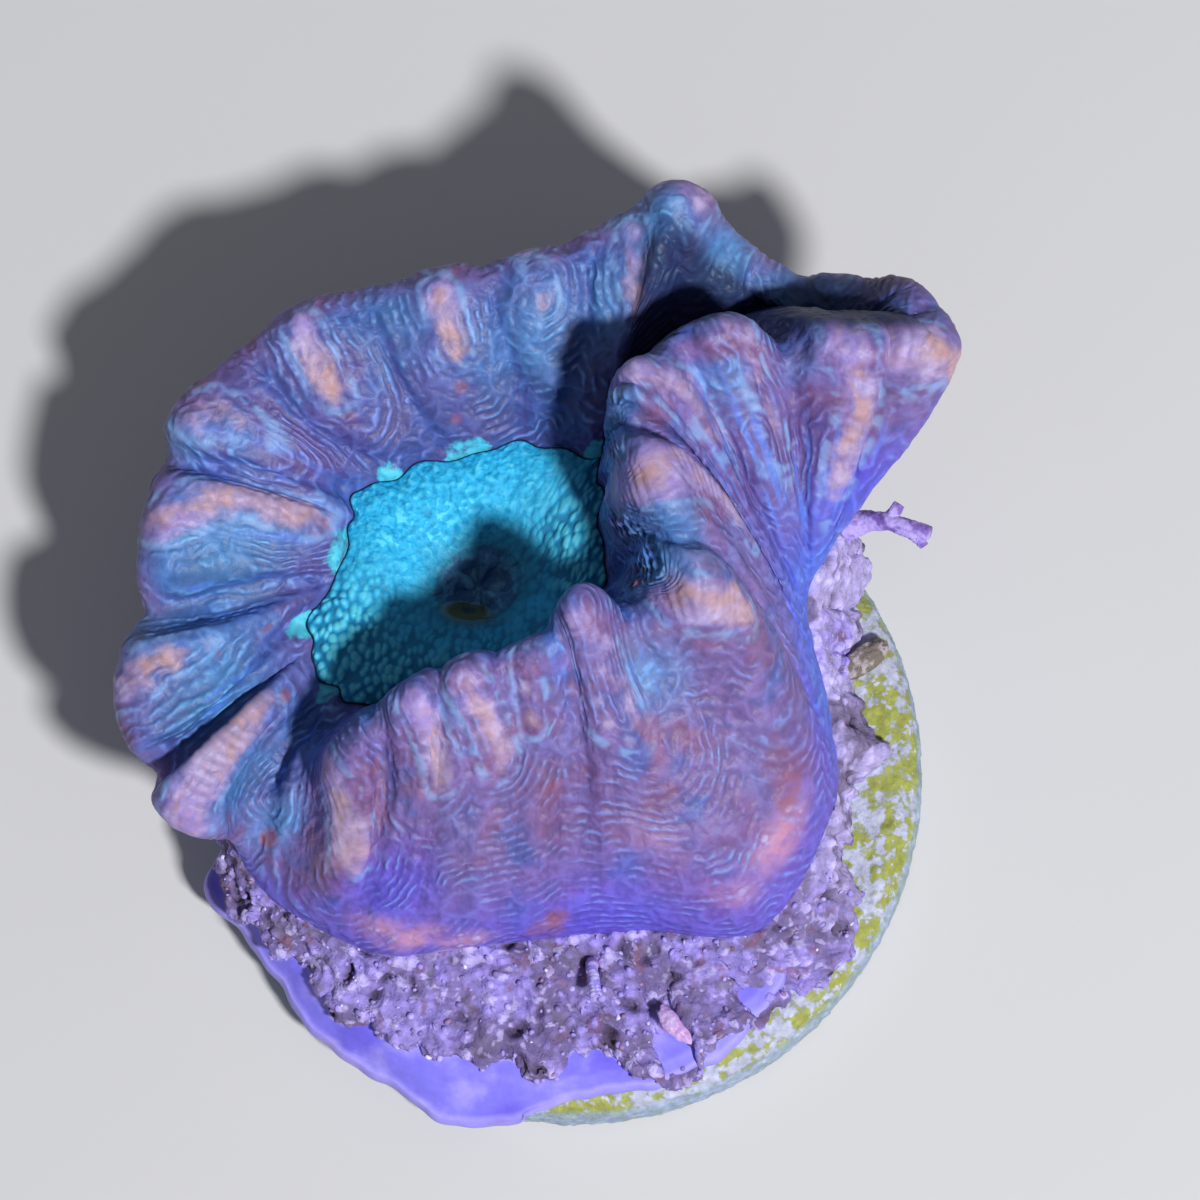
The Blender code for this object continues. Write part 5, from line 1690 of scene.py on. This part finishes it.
# %% The sand grains
GRAIN_TINTS = (
    # the share of the grains below which a tint applies, and the tint
    (0.30, colour(140, 124, 186)),
    (0.72, colour(166, 150, 228)),
    (0.80, colour(158, 124, 168)),
    (0.83, colour(124, 90, 108)),
    (0.95, colour(190, 176, 244)),
    (1.00, colour(226, 218, 255)),
)
grains, tree, surface = new_material("sand_grains", Roughness=0.6)
tint_read = read(tree, "tint")
ground = GRAIN_TINTS[-1][1]
for below, tint in reversed(GRAIN_TINTS[:-1]):
    ground = layer(tree, ground, tint, calculate(tree, "LESS_THAN", tint_read, below))
place_here = place_on(tree)
ground = shade(tree, ground, remap(tree, noise(tree, place_here, 0.15, 2.0), 0.7, 1.2))
coat(tree, surface, ground, noise(tree, place_here, 0.08, 2.0), 0.04, 0.6)

loose_grains = grown("sand_grains", bed.data.copy(), scatter, Grain=grains)
place_piece("sand_grains", loose_grains, "sand_rubble", "rubble_crust")

# %% [markdown]
# ## Small things on the ground
# A worm built a chalky tube beside the coral, a twig of coralline algae grows from the bed, a
# chip of shell lies on it and a tuft of turf algae hangs at its edge. The tube and the twig are
# swept: rings of points along a route, wider and narrower as they go.

# %% The worm tube
def swept(route, radii, sides, rows):
    """A net of rings along a smooth open route; the radii are given at the route's knots."""
    route = np.asarray(route, float)
    at = np.linspace(0, len(route) - 1, rows)
    line = np.stack([np.interp(at, range(len(route)), route[:, axis]) for axis in range(3)], axis=1)
    for _ in range(rows // 6):
        line[1:-1] = (line[:-2] + 2 * line[1:-1] + line[2:]) / 4
    along = np.gradient(line, axis=0)
    along /= np.linalg.norm(along, axis=1)[:, None]
    side = np.cross(along, (0.3, 0.2, 1.0))
    side /= np.linalg.norm(side, axis=1)[:, None]
    other = np.cross(along, side)
    angle = np.arange(sides)[:, None] / sides * math.tau
    radius = np.interp(at, np.linspace(0, len(route) - 1, len(radii)), radii)[None, :, None]
    return line[None] - radius * (np.cos(angle)[:, :, None] * side + np.sin(angle)[:, :, None] * other)


WORM_TUBE = ((0.7, -7.3, 4.6), (0.65, -7.6, 5.5), (0.75, -8.2, 5.9), (0.8, -8.75, 6.0))
TUBE_RADII = (0.3, 0.24, 0.2, 0.2, 0.21, 0.24)
TUBE_SIDES, TUBE_RINGS = 36, 90
BORE_RINGS, BORE_SHARE = 29, 0.68  # how far back the bore goes, and its share of the tube's radius

tube = swept(WORM_TUBE, TUBE_RADII, TUBE_SIDES, TUBE_RINGS)
middle = tube.mean(axis=0, keepdims=True)
growth = 1 + 0.03 * np.sin(np.arange(TUBE_RINGS) * 0.9)  # growth rings on the tube
tube = middle + (tube - middle) * growth[None, :, None]
back = slice(None, -BORE_RINGS - 1, -1)
bore = middle[:, back] + (tube[:, back] - middle[:, back]) * BORE_SHARE
tube = np.concatenate([tube, bore], axis=1)
tip = np.concatenate([smooth_step(0.5, 0.1, np.linspace(0, 1, TUBE_RINGS)), np.zeros(BORE_RINGS)])

SHELL_WHITE = colour(214, 204, 250)
SHELL_VIOLET = colour(150, 136, 236)
TIP_RED = colour(176, 96, 130)
shell, tree, surface = new_material("worm_shell", Roughness=0.4)
place_here = place_on(tree)
ground = layer(tree, SHELL_VIOLET, SHELL_WHITE, fade(tree, noise(tree, place_here, 0.3, 2.0), 0.4, 0.6))
ground = layer(tree, ground, TIP_RED, read(tree, "tip"), 0.6)
coat(tree, surface, ground, noise(tree, place_here, 0.08, 2.0), 0.03, 0.5)
rough_piece(
    "worm_shell", tube, shell, "worm_shell", "worm_tube",
    lumps=(0.5, 0.05), grains=(0.12, 0.015), values={"tip": tip},
)

# %% The coralline twig
TWIG_BRANCHES = (
    # each branch has a route and, evenly spaced along it, its radii
    (
        ((9.9, 8.6, 5.2), (10.7, 8.7, 5.6), (11.4, 8.6, 6.0), (12.2, 8.3, 6.1), (12.9, 8.1, 6.3)),
        (0.62, 0.42, 0.36, 0.32, 0.36, 0.24),
    ),
    (((11.3, 8.5, 5.9), (11.6, 8.9, 6.1), (11.8, 9.2, 6.2)), (0.26, 0.26, 0.2)),
    (((12.1, 8.3, 6.1), (12.5, 8.0, 5.9), (12.7, 7.7, 5.9)), (0.26, 0.24, 0.18)),
)
TWIG_SIDES, TWIG_RINGS = 40, 80

CORALLINE_PALE = colour(190, 170, 240)
CORALLINE_DEEP = colour(130, 100, 186)
coralline, tree, surface = new_material("coralline", Roughness=0.7)
place_here = place_on(tree)
deep_blots = fade(tree, noise(tree, place_here, 0.5, 3.0), 0.44, 0.62)
ground = layer(tree, CORALLINE_PALE, CORALLINE_DEEP, deep_blots)
ground = shade(tree, ground, remap(tree, noise(tree, place_here, 0.12, 2.0), 0.75, 1.15))
coat(tree, surface, ground, noise(tree, place_here, 0.1, 2.0), 0.05, 0.6)
for number, (route, radii) in enumerate(TWIG_BRANCHES):
    branch = swept(route, radii, TWIG_SIDES, TWIG_RINGS)
    rough_piece(
        f"twig_{number}", branch, coralline, "coralline", "coralline_twig",
        lumps=(0.45, 0.16), grains=(0.14, 0.03),
    )

# %% [markdown]
# ## The chip of shell
# A chip of shell is a piece of a curved, ribbed plate, so it is modelled as one: a closed oval
# sheet, bent along its length, with growth lines on top.

# %% The chip of shell
def oval_net(directions, slopes, half, wobble=1.0):
    """The x and y of an oval net, which are turned later: slopes go from its top to its bottom."""
    flat = np.sin(slopes)[None, :] * wobble
    return np.cos(directions)[:, None] * flat * half[0], np.sin(directions)[:, None] * flat * half[1]


def turned_net(x, y, z, turn, centre):
    """Points turned about the upright and moved to their place."""
    right = x * math.cos(turn) - y * math.sin(turn)
    back = x * math.sin(turn) + y * math.cos(turn)
    return np.stack([right, back, np.broadcast_to(z, x.shape)], axis=2) + centre


CHIP_CENTRE, CHIP_HALF, CHIP_TURN = np.array((3.6, -9.7, 5.35)), (0.85, 0.34, 0.14), math.radians(-50)
CHIP_SIDES, CHIP_ROWS = 96, 48
CHIP_BEND = 0.14  # how far its ends hang down
RIDGE_HEIGHT, RIDGE_WAVES = 0.008, 22

angle = np.arange(CHIP_SIDES) / CHIP_SIDES * math.tau
slopes = np.linspace(0.04, math.pi - 0.04, CHIP_ROWS)
wobble = 1 + 0.1 * ripples(angle, (3, 1.0, 0.5), (7, 0.5, 1.0))[:, None]
x, y = oval_net(angle, slopes, CHIP_HALF, wobble)
z = np.cos(slopes)[None, :] * CHIP_HALF[2] - CHIP_BEND * (x / CHIP_HALF[0]) ** 2
z = z + RIDGE_HEIGHT * np.sin(x * RIDGE_WAVES)
chip_net = turned_net(x, y, z, CHIP_TURN, CHIP_CENTRE)

CHIP_PINK = colour(196, 150, 216)
CHIP_PALE = colour(206, 178, 232)
chip_shell, tree, surface = new_material("shell_chip", Roughness=0.45)
place_here = place_on(tree)
ground = layer(tree, CHIP_PINK, CHIP_PALE, fade(tree, noise(tree, place_here, 0.4, 3.0), 0.42, 0.62))
ground = shade(tree, ground, remap(tree, noise(tree, place_here, 0.1, 2.0), 0.8, 1.1))
coat(tree, surface, ground, noise(tree, place_here, 0.1, 2.0), 0.04, 0.5)
rough_piece(
    "chip_of_shell", chip_net[:, ::-1], chip_shell, "shell_chip", "shell_chip",
    lumps=(0.5, 0.08), grains=(0.15, 0.02),
)

# %% [markdown]
# ## The turf algae
# The tuft is a mat of short threads. Geometry Nodes scatter one bent thread of a few faces over
# a small mound, turn it along the mound's normal and vary its size.

# %% The tuft of threads
ALGAE_CENTRE, ALGAE_HALF, ALGAE_TURN = np.array((10.5, 3.9, 3.6)), (1.15, 0.5, 0.36), math.radians(35)
MOUND_SIDES, MOUND_ROWS = 48, 24

angle = np.arange(MOUND_SIDES) / MOUND_SIDES * math.tau
slopes = np.linspace(math.pi - 0.08, 0.08, MOUND_ROWS)
x, y = oval_net(angle, slopes, ALGAE_HALF)
mound = turned_net(x, y, np.cos(slopes)[None, :] * ALGAE_HALF[2], ALGAE_TURN, ALGAE_CENTRE)

THREAD_BROWN = colour(118, 108, 98)
THREAD_PALE = colour(176, 166, 168)
turf, tree, surface = new_material("turf_algae", Roughness=0.85)
place_here = place_on(tree)
ground = layer(tree, THREAD_BROWN, THREAD_PALE, fade(tree, noise(tree, place_here, 0.35, 3.0), 0.44, 0.64))
coat(tree, surface, ground, noise(tree, place_here, 0.08, 2.0), 0.05, 0.8)
turf_mat = rough_piece(
    "turf_mat", mound, turf, "turf_algae", "turf_algae",
    lumps=(0.5, 0.3), grains=(0.16, 0.08),
)

# %% Threads scattered by Geometry Nodes
tree, given, result = new_tree(
    "turf_threads",
    "GeometryNodeTree",
    {
        "Geometry": (GEOMETRY, None),
        "Density": (FLOAT, 220.0e6),
        "Length": (FLOAT, 0.45),
        "Thickness": (FLOAT, 0.035),
        "Seed": (WHOLE, 2),
        "Thread": (MATERIAL, None),
    },
    {"Geometry": GEOMETRY},
)
threads = tree
inputs = {"Mesh": given["Geometry"], "Density": given["Density"], "Seed": given["Seed"]}
spread = add(tree, "GeometryNodeDistributePointsOnFaces", inputs, distribute_method="RANDOM")
metres = times(tree, given["Length"], MM)
stem = add(tree, "GeometryNodeCurveQuadraticBezier", {"Resolution": 4, "Start": (0.0, 0.0, 0.0)})
for socket, sideways, upwards in (("Middle", 0.15, 0.55), ("End", 0.6, 0.85)):
    point = {"X": times(tree, metres, sideways), "Z": times(tree, metres, upwards)}
    tree.links.new(add(tree, "ShaderNodeCombineXYZ", point).outputs[0], stem.inputs[socket])
ring_shape = add(tree, "GeometryNodeCurvePrimitiveCircle", {"Resolution": 4, "Radius": 0.5 * MM}).outputs[0]
thin_ring = add(tree, "ShaderNodeCombineXYZ", {axis: given["Thickness"] for axis in "XYZ"}).outputs[0]
small_ring = add(tree, "GeometryNodeTransform", {"Geometry": ring_shape, "Scale": thin_ring}).outputs[0]
inputs = {"Curve": stem.outputs[0], "Profile Curve": small_ring, "Fill Caps": True}
thread = add(tree, "GeometryNodeCurveToMesh", inputs).outputs[0]
spin = {"Axis": (0.0, 0.0, 1.0), "Angle": random_value(tree, 0.0, math.tau, 7)}
spin = add(tree, "FunctionNodeAxisAngleToRotation", spin).outputs[0]
facing = {"Rotation": spread.outputs["Rotation"], "Rotate By": spin}
facing = add(tree, "FunctionNodeRotateRotation", facing, rotation_space="LOCAL").outputs[0]
scale = random_value(tree, 0.5, 1.2, 8)
inputs = {"Points": spread.outputs["Points"], "Instance": thread, "Rotation": facing, "Scale": scale}
seeded = add(tree, "GeometryNodeInstanceOnPoints", inputs).outputs[0]
end_tree(tree, seeded, given["Thread"], result, smooth=True)

grown_threads = grown("turf_threads", turf_mat.data.copy(), threads, Thread=turf)
place_piece("turf_threads", grown_threads, "turf_algae", "turf_algae")

# %% Sizes and finish
size = {"cad": [list(corner) for corner in CAD_BOX], "visual": [list(corner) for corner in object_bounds()]}
print("sizes:", size)
